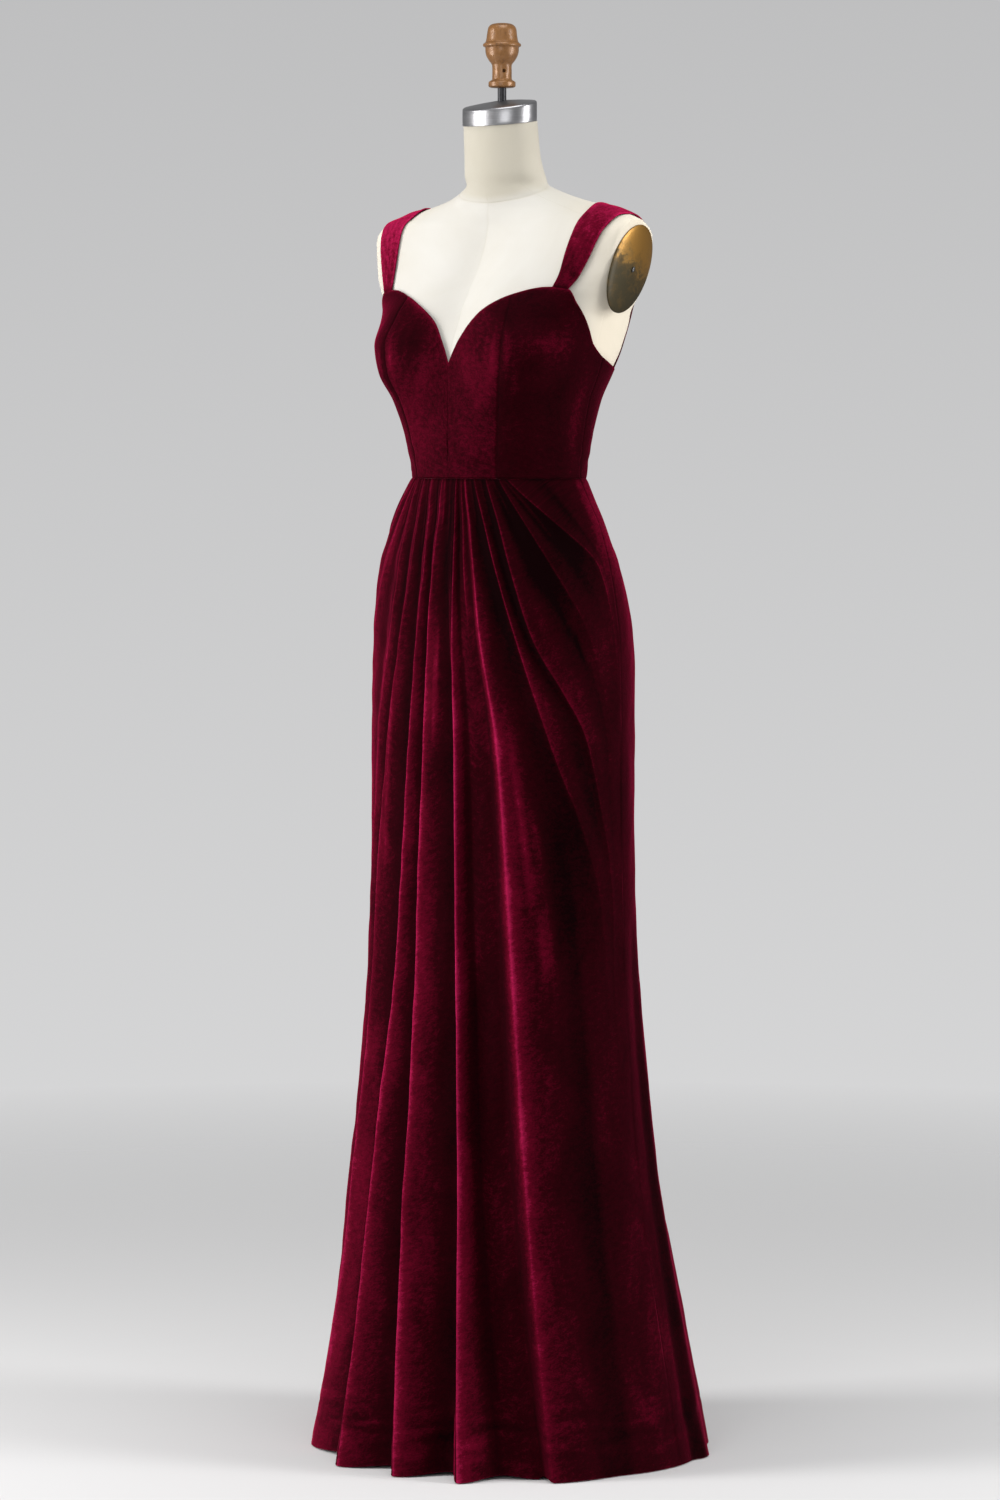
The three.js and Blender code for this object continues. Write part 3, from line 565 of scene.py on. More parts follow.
def bodiceRelief(angle, z, side):
    # Bells across the distance from lines beside the princess seam, and seeded low waves that grow
    # towards the waist. Returns the height and the mark: a painted highlight on each pucker and the patches
    # of painted light and shade.
    height = np.zeros(angle.shape)
    mark = np.zeros(angle.shape)
    arc = np.pi / 180 * bodice["radius"]
    for off, start, end, width, left, right in bodice["puckers"]:
        rise = left if side > 0 else right
        across = (angle - princessAngle(z) - off) * arc
        ends = smoothStep((z - start) / 22) * smoothStep((end - z) / 22)
        height += rise * bell(across, width) * ends
        mark += 0.25 * rise * bell(across, width * 0.7) * ends
    for middle, at, wide, tall, left, right in bodice["patches"]:
        away = np.hypot((angle - middle) * arc / wide, (z - at) / tall)
        mark += (left if side > 0 else right) * bell(away, 1.0)
    low = smoothStep((1290 - z) / 80)
    height += bodice["drag"] * low * waves(angle * arc, z * 2.2, 5 if side > 0 else 9, 30, 70)
    height += 0.25 * waves(angle * arc, z, 3 if side > 0 else 4, 55, 140)
    return height, mark


def bodicePanel(name, seamA, seamB, side, tone):
    # Shares across and up, mapped between two seams and between the waist and the upper edge. The
    # cloth lies on bodicePoint, raised by its relief and pulled in beside each seam.
    gap = cloth["seamGap"] / 2
    low = cloth["waistHeight"] + cloth["waistGap"] / 2
    across = closeAtEnds(int(abs(seamB(1300.0) - seamA(1300.0)) * 2.3 / bodice["columnStep"]) + 2, 100)
    up = closeAtEnds(int(180 / bodice["rowStep"]), 180)
    c, r = np.meshgrid(across, up)
    z = np.full(c.shape, low)
    inset = np.degrees(gap / bodice["waistRadius"])
    for step in range(bodice["fitPasses"]):
        first, last = seamA(z) + inset, seamB(z) - inset
        angle = first + (last - first) * c
        z = low + (edgeHeight(angle) - low) * r
    base = bodicePoint(angle, z)
    n = surfaceNormal(bodicePoint, angle, z, 0.6, 1)
    n[..., 2] *= smoothStep((z - low) / 14) * smoothStep((edgeHeight(angle) - z) / 5)
    n = unit(n)
    alongRow, _ = runLengths(base)
    height, mark = bodiceRelief(angle, z, side)
    height = height * smoothStep((edgeHeight(angle) - z) / 16) * smoothStep((z - low) / 10)
    fromFirst, fromLast = alongRow, alongRow[:, -1:] - alongRow
    dip = bell(z - low, cloth["seamWidth"])
    faint = bodice["centreSeam"] if seamA(0.0) == 0 else 1
    dip = np.maximum(dip, faint * bell(fromFirst, cloth["seamWidth"]))
    dip = np.maximum(dip, bell(fromLast, cloth["seamWidth"]))
    dip *= smoothStep((edgeHeight(angle) - z) / 3 + 0.3)
    outer = base + n * (height - cloth["seamDip"] * dip)[..., None]
    inner = outer - n * cloth["wall"]
    # Painted shade in the seams' dips and a painted highlight along the rolled upper edge.
    mark = mark + tone - 0.22 * dip + 0.4 * bell(edgeHeight(angle) - z, 2.5)
    outer, inner, mark = placeOnSide(side, outer, inner, mark)
    return clothWall(name, outer, inner, ("high",), {"pile": mark})


def constant(value):
    return lambda z: np.full(np.shape(z), float(value))


# The last number of each panel is painted light: the side front, turned from the lamps, is painted darker and
# the centre front lighter.
bodicePanels = [
    ("CentreFront", constant(0), princessAngle, "bodice_centre_front", 0.12),
    ("SideFront", princessAngle, constant(cloth["sideSeam"]), "bodice_side_front", -0.12),
    ("SideBack", constant(cloth["sideSeam"]), constant(cloth["backPrincess"]), "bodice_side_back", 0.0),
    ("CentreBack", constant(cloth["backPrincess"]), constant(180), "bodice_centre_back", 0.04),
]
sides = ((1, "Left", "_left"), (-1, "Right", "_right"))
dressPieces = {}
for label, seamA, seamB, nodeName, tone in bodicePanels:
    for side, word, tail in sides:
        piece = bodicePanel("bodice" + label + word, seamA, seamB, side, tone)
        dressPieces[nodeName + tail] = finishPiece(piece, velvet, "velvet", nodeName + tail)
print("stage: bodice made")

# Straps
straps = {
    "face": [1, 1, 1, 1, 1, 1, 1, -1, -1, -1, -1, -1, -1, -1, -1, -1, -1, -1],
    "drop": [88, 62, 40, 24, 12, 5, 1.2, 1.2, 5, 12, 24, 44, 66, 90, 116, 142, 166, 184],
    "inner": [132, 134.5, 137.5, 139.5, 139, 138, 138, 138, 137, 136, 134, 129, 123, 117, 109, 101, 95, 91],
    "outer": [154, 164, 171, 175.5, 180, 181.5, 181.5, 181, 180, 178, 173, 164, 155, 147, 138, 129, 121, 117],
    "front": (65.4, 70.7),
    "back": (136, 123),
    "shoulder": (1569.0, 1514.0),  # the heights between which the shoulder line is looked for
    "perRow": 8,
    "topAt": 125.0,  # how far along the shoulder line is
    # Painted light: the far strap, on the wearer's right, is painted lighter all along, and both are painted
    # lighter near the shoulder line, where the top light falls.
    "tone": {1: 0.12, -1: 0.42},  # on the wearer's left and right
    "topTone": {1: 0.62, -1: 0.5},  # how much lighter the strap is near the shoulder line
}


def halve(low, high, tooLow, passes):
    # Halves the span between two arrays until the test no longer tells them apart.
    for step in range(passes):
        middle = (low + high) / 2
        test = tooLow(middle)
        low, high = np.where(test, middle, low), np.where(test, high, middle)
    return (low + high) / 2


def strapPath(stations, steps):
    # A centripetal spline through a row of stations, taken for all columns at once.
    before = 2 * stations[0] - stations[1]
    after = 2 * stations[-1] - stations[-2]
    p = np.concatenate([before[None], stations, after[None]])
    s = np.linspace(0, len(stations) - 1, steps + 1)
    i = np.minimum(s.astype(int), len(stations) - 2)
    t = (s - i)[:, None, None]
    a, b, c, d = p[i], p[i + 1], p[i + 2], p[i + 3]
    ab = np.sqrt(np.linalg.norm(b - a, axis=-1, keepdims=True))
    bc = np.sqrt(np.linalg.norm(c - b, axis=-1, keepdims=True))
    cd = np.sqrt(np.linalg.norm(d - c, axis=-1, keepdims=True))
    start = ((b - a) / ab - (c - a) / (ab + bc) + (c - b) / bc) * bc
    end = ((c - b) / bc - (d - b) / (bc + cd) + (d - c) / cd) * bc
    return (b + start * t + (-3 * b + 3 * c - 2 * start - end) * t ** 2
            + (2 * b - 2 * c + start + end) * t ** 3)


def strapPiece(name, side):
    # A band of the form's own surface, moved out: at each station two points of the surface, so far
    # below the shoulder line and so far out from the centre, with points shared out between them.
    share = closeAtEnds(15, 30, (0.5, 1.2, 2.2))
    points, normals = [], []

    def jointStation(joint):
        angle = joint[0] + (joint[1] - joint[0]) * share
        z = edgeHeight(angle) + 0.15
        points.append(bodicePoint(angle, z))
        normals.append(level(surfaceNormal(bodicePoint, angle, z, 0.6, 1)))

    jointStation(straps["front"])
    for face, drop, inner, outer in zip(straps["face"], straps["drop"], straps["inner"], straps["outer"]):
        out = inner + (outer - inner) * share
        neckSide, armSide = straps["shoulder"]
        shoulder = halve(np.full(out.shape, armSide), np.full(out.shape, neckSide),
                         lambda z: formAt["side"](z) > out, 30)
        z = shoulder - drop
        near = np.full(out.shape, 20.0 if face > 0 else 160.0)
        angle = halve(near, np.full(out.shape, 90.0), lambda a: formPoint(a, z)[..., 0] < out, 40)
        n = surfaceNormal(formPoint, angle, z, 0.6, 1)
        points.append(formPoint(angle, z) + n * (cloth["strapEase"] + cloth["wall"]))
        normals.append(n)
    jointStation(straps["back"])
    points, normals = np.array(points), np.array(normals)
    steps = (len(points) - 1) * straps["perRow"]
    outer = strapPath(points, steps)
    inner = strapPath(points - normals * cloth["wall"], steps)
    n = unit(outer - inner)
    across, down = runLengths(outer)
    width = across[:, -1:]
    crown = 0.5 * (1 - (2 * across / width - 1) ** 2)
    ripple = 0.35 * waves(across * 1.5, down, 21 if side > 0 else 22, 26, 90)
    ripple = ripple * smoothStep(across / 6) * smoothStep((width - across) / 6)
    outer = outer + n * (crown + ripple)[..., None]
    streaks = waves(across * 6, down * 0.8, 23 if side > 0 else 24, 9, 34)
    top = bell(down - straps["topAt"], 70)
    # Painted light: lighter near the shoulder line, painted highlights along the rolled edges and painted
    # shade at both ends, where the strap meets the bodice. The streaks are the velvet's own.
    mark = straps["tone"][side] + straps["topTone"][side] * top + 0.08 * streaks
    mark += 0.25 * (bell(across, 2) + bell(width - across, 2))
    mark -= 0.4 * (bell(down, 4) + bell(down[-1:] - down, 4))
    outer, inner, mark = placeOnSide(side, outer, inner, mark)
    return clothWall(name, outer, inner, ("first", "last"), {"pile": mark})


for side, word, tail in sides:
    piece = strapPiece("strap" + word, side)
    dressPieces["strap" + tail] = finishPiece(piece, velvet, "velvet", "strap" + tail)
print("stage: straps made")

# Skirt
def fold(angle, rise, glow=(0,) * 8, crisp=0.2, flank=0.5, spread=3, tail=0.32):
    # A ridge: its angle and rise at the fold heights, and the painted highlight along its crest.
    # flank is the share of the fold that its steep side takes, spread is how wide, in millimetres, the
    # painted highlight reaches down that side, and tail is how strong it stays on the other side.
    return {"angle": angle, "rise": rise, "glow": glow, "crisp": crisp, "flank": flank, "spread": spread,
            "tail": tail}


skirt = {
    "foldHeights": [1200, 1150, 1090, 1010, 880, 680, 380, 0],
    # From the wearer's right to the left
    "front": [
        fold([-44, -62, -78, -85, -88, -89, -89, -89], [1.5, 3, 2, 1, 0, 0, 0, 0],
             [0.5, 0.5, 0.3, 0, 0, 0, 0, 0], 0.4, 0.4, 2),
        fold([-40, -51, -63, -74, -81, -82, -82, -82], [1.5, 3, 3, 2, 1, 1, 1, 3],
             [0.5, 0.6, 0.5, 0.4, 0.2, 0.1, 0, 0], 0.4, 0.35, 2),
        fold([-36, -40, -47, -57, -67, -72, -73, -73], [1.5, 3, 3, 3, 2, 2, 3, 6],
             [0.6, 0.7, 0.6, 0.6, 0.6, 0.5, 0.4, 0.3], 0.5, 0.3, 1),
        fold([-31, -29, -29.5, -34, -45, -54, -57, -60], [1.5, 3, 4, 4, 4, 4, 5, 8],
             [0.5, 0.6, 0.6, 0.7, 0.8, 0.6, 0.6, 0.5], 0.5, 0.25, 1, 0.2),
        fold([-22, -18, -17.5, -23, -33, -42, -44, -45], [2, 4, 5, 5, 6, 8, 13, 12],
             [0.5, 0.8, 0.7, 0.6, 0.7, 0.8, 0.8, 0.6], 0.6, 0.22, 1, 0.16),
        fold([-14, -8.5, -7, -10, -14, -18.5, -23.5, -11.5], [2, 4, 5, 6, 8, 12, 22, 38],
             [0.6, 0.8, 0.75, 0.75, 0.95, 1.0, 0.9, 0.7], 0.6, 0.2, 1),
        fold([-4, -0.5, -0.5, -2.5, -4.0, -5.9, -3.7, 9.5], [2, 4, 5, 6, 8, 12, 22, 40],
             [0.6, 0.75, 0.75, 0.8, 1.0, 1.05, 1.0, 0.9], 0.6, 0.16, 1),
        fold([8, 11.5, 13.2, 13.6, 15.7, 17.4, 22.3, 28.5], [2, 4, 5, 6, 9, 14, 26, 46],
             [0.6, 0.6, 0.7, 0.7, 1.2, 1.25, 1.15, 0.95], 0.7, 0.09, 0.8, 0.42),
        fold([11.5, 16.3, 19, 22.5, 27.3, 30.8, 36, 50], [0.8, 1.5, 1, 0, 0, 0, 0, 0],
             [0.4, 0.6, 0.6, 0.1, 0, 0, 0, 0], 0.5, 0.4, 1.5),
        fold([15, 21, 25, 29, 37.4, 42.6, 47.8, 53], [2, 4, 4, 6, 10, 16, 22, 24],
             [0.6, 0.8, 0.8, 0.9, 1.2, 1.2, 1.1, 0.5], 0.45, 0.4, 13, 0.2),
        fold([21.5, 29.5, 36.7, 45.8, 60.5, 82, 87, 87], [2.5, 4, 4, 4, 4, 1, 0, 0],
             [0.5, 0.8, 0.9, 0.9, 0.5, 0.15, 0, 0], 0.6, 0.25, 1.5, 0.16),
        fold([29.5, 37.5, 44, 53, 76, 88, 89, 89], [2.5, 4, 4, 4, 2.5, 0.5, 0, 0],
             [0.5, 0.7, 0.7, 0.55, 0.45, 0.1, 0, 0], 0.6, 0.2, 1.5, 0.16),
        fold([38, 51, 64, 78, 88, 90.5, 91, 91], [2.5, 4, 3, 1, 0.3, 0, 0, 0],
             [0.5, 0.5, 0.5, 0.1, 0, 0, 0, 0], 0.55, 0.15, 1.5, 0.12),
        fold([43, 66, 87, 91.5, 93, 93.3, 93.3, 93.3], [2, 3, 1.6, 0.3, 0, 0, 0, 0],
             [0.5, 0.5, 0.5, 0.1, 0, 0, 0, 0], 0.5, 0.12, 1.5, 0.12),
    ],
    "back": [
        fold([110, 110, 110, 110, 110, 109, 108, 108], [0, 0, 0, 0, 0, 1, 5, 10]),
        fold([126, 126, 126, 127, 128, 129, 130, 131], [0, 0, 0, 0, 0, 1, 4, 9]),
        fold([146, 146, 146, 146, 148, 149, 150, 151], [0, 0, 0, 0, 1, 3, 8, 16]),
        fold([165, 165, 165, 165, 166, 167, 168, 168], [0, 0, 0, 0, 0, 2, 6, 11]),
    ],
    "radius": 150.0,  # turns an angle into a way across
    "hemHeight": 1.5,
    "hemLift": 4.0,
    "stitchHeight": 56.0,  # how far above the edge the hem is sewn up
    # The next number also sets the painted shade along the hem's stitching.
    "crushed": 0.14,  # how unevenly the pile lies above the hem
    "frontColumns": 20,  # for each fold
    "backColumns": 24,
    "rightRise": 0.8,  # the back's folds stand out so much less on the wearer's right
}

# Small pleats and creases on the front: heights, the line's angle at each, its half width and its rise
frontCreases = [
    ([1200, 1160, 1120], [-41.8, -48, -55], 2.2, 1.1),
    ([1200, 1165, 1105], [-33, -34, -38], 2.4, 1.3),
    ([1200, 1170, 1130], [-26, -24, -24], 2.2, 1.0),
    ([1200, 1160, 1100], [-18.2, -13.5, -12], 2.2, 1.2),
    ([1200, 1165, 1120], [-9.4, -5.5, -4.2], 2.0, 1.1),
    ([1200, 1170, 1135], [-1.2, 2, 3], 2.0, 1.2),
    ([1200, 1165, 1115], [3.2, 6, 7.6], 2.0, 1.0),
    ([1200, 1170, 1140], [18.4, 22.6, 25.5], 2.0, 1.1),
    ([1200, 1165, 1130], [25.4, 31, 36], 2.2, 1.1),
    ([1200, 1175, 1145], [33.5, 40, 48], 2.2, 1.0),
    ([1200, 1172, 1120], [40.5, 52, 68], 3.0, 1.4),
    ([905, 765, 600, 517], [43.3, 49.5, 58, 62.7], 8.0, 2.0),
    ([1040, 960, 860], [4.5, 3.4, 2.6], 5.0, 1.2),
    ([960, 850, 700], [-27, -32, -36], 6.0, 1.4),
    ([820, 700, 560], [52, 57, 62], 7.0, 1.1),
    ([1100, 1030, 960], [56, 68, 78], 5.0, -1.2),
]


def linesRelief(lines, angle, z):
    # For each line, a bell across the distance from it, faded over a quarter of its length at both
    # ends. Returns the height and the mark: a painted highlight along a raised line, painted shade along a
    # groove.
    height = np.zeros(angle.shape)
    mark = np.zeros(angle.shape)
    for heights, angles, width, rise in lines:
        zs = heights[::-1]
        at = monotoneCurve(zs, angles[::-1])
        r = skirtReach(at(z), z)
        slope = (at(z + 4) - at(z - 4)) / 8 * np.pi / 180 * r
        distance = (angle - at(z)) * np.pi / 180 * r / np.sqrt(1 + slope ** 2)
        fade = (zs[-1] - zs[0]) / 3.5
        ends = smoothStep((z - zs[0]) / fade) * (smoothStep((zs[-1] - z) / fade) if zs[-1] < 1199 else 1)
        height += rise * bell(distance, width) * ends
        mark += np.sign(rise) * 0.42 * bell(distance, width * 0.5) * ends
    return height, mark


def gatheredPanel(folds, first, last, lift, lines, seed):
    # Whole values of u are seams and ridges. Between two of them the cloth falls from the left one
    # and, over the last share, the flank, climbs to the right one: each side stands out by its ridge's
    # rise times its crest, a mix of a squared cosine and a rounded cusp of the share e of the way
    # down. point(u, z) is the surface and tone(u, z) the painted light: highlights on the ridges, shade in
    # the folds.
    ys = skirt["foldHeights"][::-1]
    angles, rises, ridgeHighlights = (
        [monotoneCurve(ys, row[key][::-1]) for row in folds] for key in ("angle", "rise", "glow"))
    crisps, flanks, spreads, tails = (
        np.array([atSeam] + [row[key] for row in folds] + [atSeam])
        for key, atSeam in (("crisp", 0.0), ("flank", 0.5), ("spread", 3.0), ("tail", 0.3)))
    count = len(folds) + 1

    def parts(u, z):
        u, z = np.broadcast_arrays(np.asarray(u, float), np.asarray(z, float))
        inset = np.degrees(cloth["seamGap"] / 2 / skirtReach(first, z))
        tracks = np.stack([first + inset] + [at(z) for at in angles] + [last - inset])
        i = np.clip(np.floor(u).astype(int), 0, count - 1)
        low = np.take_along_axis(tracks, i[None], 0)[0]
        high = np.take_along_axis(tracks, i[None] + 1, 0)[0]
        s = u - i
        angle = low + (high - low) * s
        settled = smoothStep((1160 - z) / 220) * (1 - 0.3 * smoothStep((150 - z) / 150))
        flank = 0.5 + (flanks[i + 1] - 0.5) * settled
        falling = s < 1 - flank
        e = np.where(falling, s / (1 - flank), (1 - s) / flank)
        near = np.where(falling, i, i + 1)
        return angle, near, falling, np.clip(e, 0, 1), s, (high - low) * np.pi / 180 * skirtReach(angle, z)

    def pick(curves, near, z):
        rows = np.stack([np.zeros(z.shape)] + [at(z) for at in curves] + [np.zeros(z.shape)])
        return np.take_along_axis(rows, near[None], 0)[0]

    def point(u, z):
        angle, near, _, e, _, _ = parts(u, z)
        z = np.broadcast_to(np.asarray(z, float), e.shape)
        crisp = crisps[near] * (0.3 + 0.7 * smoothStep((z - 10) / 170))
        blunt = 0.08
        cusp = np.clip((1 - np.sqrt(e ** 2 + blunt ** 2)) / (1 - blunt), 0, 1) ** 1.4
        wave = np.cos(np.pi * e / 2) ** 2
        base = skirtReach(angle, z)
        extra, _ = linesRelief(lines, angle, z)
        arc = angle * np.pi / 180 * skirt["radius"]
        soft = 0.9 * smoothStep((1170 - z) / 200) * waves(arc, z * 0.4, seed, 45, 150)
        soft = soft + 0.35 * waves(arc, z * 0.7, seed + 1, 22, 48) * smoothStep((1190 - z) / 60)
        sewn = -0.55 * bell(z - skirt["hemHeight"] - skirt["stitchHeight"], 2.2)
        pucker = 0.5 * bell(z - 54, 14) * waves(arc * 1.6, z * 0.3, seed + 2, 17, 34)
        ends = smoothStep(u / 0.6) * smoothStep((count - u) / 0.6)
        r = base + pick(rises, near, z) * ((1 - crisp) * wave + crisp * cusp)
        r = r + extra + sewn + (soft + pucker) * ends
        raised = lift(u) * (1 - wave) * (1 - smoothStep(z / 260))
        return polar(r, np.radians(angle), z + raised)

    def tone(u, z):
        # Down the gentle side the painted highlight is a fine line and a long tail, both fading exponentially
        # with the distance. Down the steep side it ends within the spread, and painted shade fills the fold.
        angle, near, falling, e, s, wide = parts(u, z)
        z = np.broadcast_to(np.asarray(z, float), e.shape)
        _, mark = linesRelief(lines, angle, z)
        glow = pick(ridgeHighlights, near, z)
        depth = np.clip(pick(rises, near, z) / 4, 0, 1)
        away = np.where(falling, s, 1 - s) * wide
        spread = spreads[near] * np.clip(wide / 60, 0.4, 1)
        fine = 1 - 0.6 * smoothStep((z - 930) / 130)
        steep = np.exp(-away / spread)
        line = np.where(falling, np.exp(-away / (1.2 + 0.05 * wide) / fine), steep) * (1.6 - 0.6 * fine)
        tail = np.where(falling, np.exp(-away / (4 + 0.32 * wide)), steep)
        foldShade = np.where(falling, 0.85 * smoothStep((e - 0.35) / 0.6), 1 - steep)
        shade = 0.45 + 0.15 * smoothStep((z - 980) / 100)
        return mark + glow * (0.62 * line + tails[near] * tail) - depth * shade * foldShade

    return point, tone, count


def skirtPiece(name, panel, perFold, heights):
    # A grid with more columns beside each ridge: u = share - 0.8 sin(2 pi share) / (2 pi).
    point, tone, count = panel
    share = np.linspace(0, count, count * perFold + 1)
    u = share - 0.8 * np.sin(2 * np.pi * share) / (2 * np.pi)
    extra = np.array([0.012, 0.03, 0.06])
    u = np.unique(np.round(np.concatenate([u, extra, count - extra]), 6))
    u, z = np.meshgrid(u, heights)
    outer = point(u, z)
    n = surfaceNormal(point, u, z, 0.02, 2)
    n[..., 2] *= smoothStep((cloth["waistHeight"] - 3 - z) / 14) * smoothStep((z - 3) / 12)
    n = unit(n)
    across, _ = runLengths(outer)
    width = cloth["seamWidth"]
    dip = np.maximum(bell(across, width), bell(across[:, -1:] - across, width))
    dip *= 0.25 + 0.75 * smoothStep((z - 950) / 110)
    waist = 0.8 * bell(cloth["waistHeight"] - z, 2.6)
    outer = outer - n * (cloth["seamDip"] * dip + waist)[..., None]
    inner = outer - n * cloth["wall"]
    # Painted shade in the seams' dips and under the waist seam, and a painted highlight along the hem's edge.
    mark = tone(u, z) - 0.25 * dip - 0.3 * bell(cloth["waistHeight"] - z, 2.5) + 0.15 * bell(z, 3)
    # Uneven crushed velvet above the hem, and a narrow painted shade along the hem's stitching, in its
    # groove.
    crushed = waves(across * 0.6, z * 2.2, 61, 30, 90) * bell(z - 52, 34) - 0.6 * bell(z - 57, 1.6)
    mark = mark + broadPaintedLight(u, z, point) + skirt["crushed"] * crushed
    return clothWall(name, outer, inner, ("low",), {"pile": mark})


def broadPaintedLight(u, z, point):
    # Broad painted light and shade, as bells and steps over the angle and the height: painted lighter low
    # on the wearer's right, painted darker over the left hip and near the gathers, a painted sheen behind the
    # side, and painted darker again further back, lower down.
    p = point(u, z)
    angle = np.degrees(np.arctan2(p[..., 0], -p[..., 1]))
    right = 0.26 * smoothStep((-8 - angle) / 30) * smoothStep((560 - z) / 300)
    hip = -0.3 * bell(angle - 62, 24) * bell(z - 1130, 90) - 0.12 * bell(angle - 75, 22) * bell(z - 760, 190)
    behind = 0.35 * smoothStep((angle - 86) / 5) * smoothStep((150 - angle) / 45)
    behind = behind * smoothStep((z - 1040) / 90)
    edge = -0.25 * bell(angle - 108, 18) * smoothStep((1010 - z) / 60)
    edge = edge * (0.35 + 0.65 * smoothStep((z - 300) / 350))
    top = -0.2 * bell(angle - 22, 30) * smoothStep((z - 1010) / 110)
    low = -0.1 * bell(angle - 62, 26) * smoothStep((900 - z) / 250) + 0.07 * smoothStep((-25 - angle) / 20)
    return right + hip + behind + edge + top + low


def skirtRows(low, middle, high):
    waist = cloth["waistHeight"] - cloth["waistGap"] / 2
    hem = skirt["hemHeight"]
    rows = np.concatenate([
        hem + np.array([0, 0.6, 1.4, 2.6, 4.5]), np.linspace(hem + 8, 100, low),
        np.linspace(100, 900, middle), np.linspace(900, waist - 8, high),
        waist - np.array([5.5, 3.6, 2.2, 1.1, 0.4, 0]),
    ])
    return np.unique(np.round(rows, 4))


def frontLift(u):
    inside = (u > 5) & (u < 10.5)
    return np.where(inside, skirt["hemLift"] * smoothStep((u - 5) * 2) * smoothStep((10.5 - u) * 2), 0)


def noLift(u):
    return np.zeros(np.shape(u))


side = cloth["sideSeam"]
turnedFolds = [fold([362 - a for a in row["angle"]], [rise * skirt["rightRise"] for rise in row["rise"]])
               for row in reversed(skirt["back"])]
frontPanel = gatheredPanel(skirt["front"], -side, side, frontLift, frontCreases, 31)
backLeftPanel = gatheredPanel(skirt["back"], side, 180, noLift, [], 41)
backRightPanel = gatheredPanel(turnedFolds, 180, 360 - side, noLift, [], 51)
for label, panel, perFold, rows, nodeName in (
    ("skirtFront", frontPanel, skirt["frontColumns"], skirtRows(20, 66, 48), "skirt_front"),
    ("skirtBackLeft", backLeftPanel, skirt["backColumns"], skirtRows(18, 50, 36), "skirt_back_left"),
    ("skirtBackRight", backRightPanel, skirt["backColumns"], skirtRows(18, 50, 36), "skirt_back_right"),
):
    dressPieces[nodeName] = finishPiece(skirtPiece(label, panel, perFold, rows), velvet, "velvet", nodeName)
print("stage: skirt made")


# Dress form
form = {
    "bottom": 870.0,
    "neckTop": 1635.1,
    "neckTilt": 0.13,
    "seams": [0, 50, 90, 132, 180, 228, 270, 310],  # the turns at which the cover is sewn
    "radius": 110.0,  # turns an angle into a way across
    "seamRow": 1548.0,  # the row that becomes the neck seam
    "leanFrom": 1578.0,
    "neckSeam": 1537.0,  # at the front
    "neckSeamClimb": 31.0,  # how much higher it is at the sides and the back
    "groove": 0.45,
}


def closedRings(name, rings, marks=None, sharp=35):
    # Rings of points joined into a closed solid with a flat fan at each end.
    rows, count = rings.shape[:2]
    points = np.concatenate([rings.reshape(-1, 3), rings[0].mean(0)[None], rings[-1].mean(0)[None]])
    r, c = np.meshgrid(np.arange(rows - 1), np.arange(count), indexing="ij")
    a = (r * count + c).ravel()
    b = (r * count + (c + 1) % count).ravel()
    quads = np.stack([a, b, b + count, a + count], -1)
    c = np.arange(count)
    after = (c + 1) % count
    low = np.full(count, rows * count)
    top = (rows - 1) * count
    triangles = np.concatenate([np.stack([low, after, c], -1), np.stack([low + 1, top + c, top + after], -1)])
    full = {key: np.concatenate([np.asarray(v).ravel(), [0, 0]]) for key, v in (marks or {}).items()}
    return makeMesh(name, points, quads, triangles, marks=full, sharp=sharp)


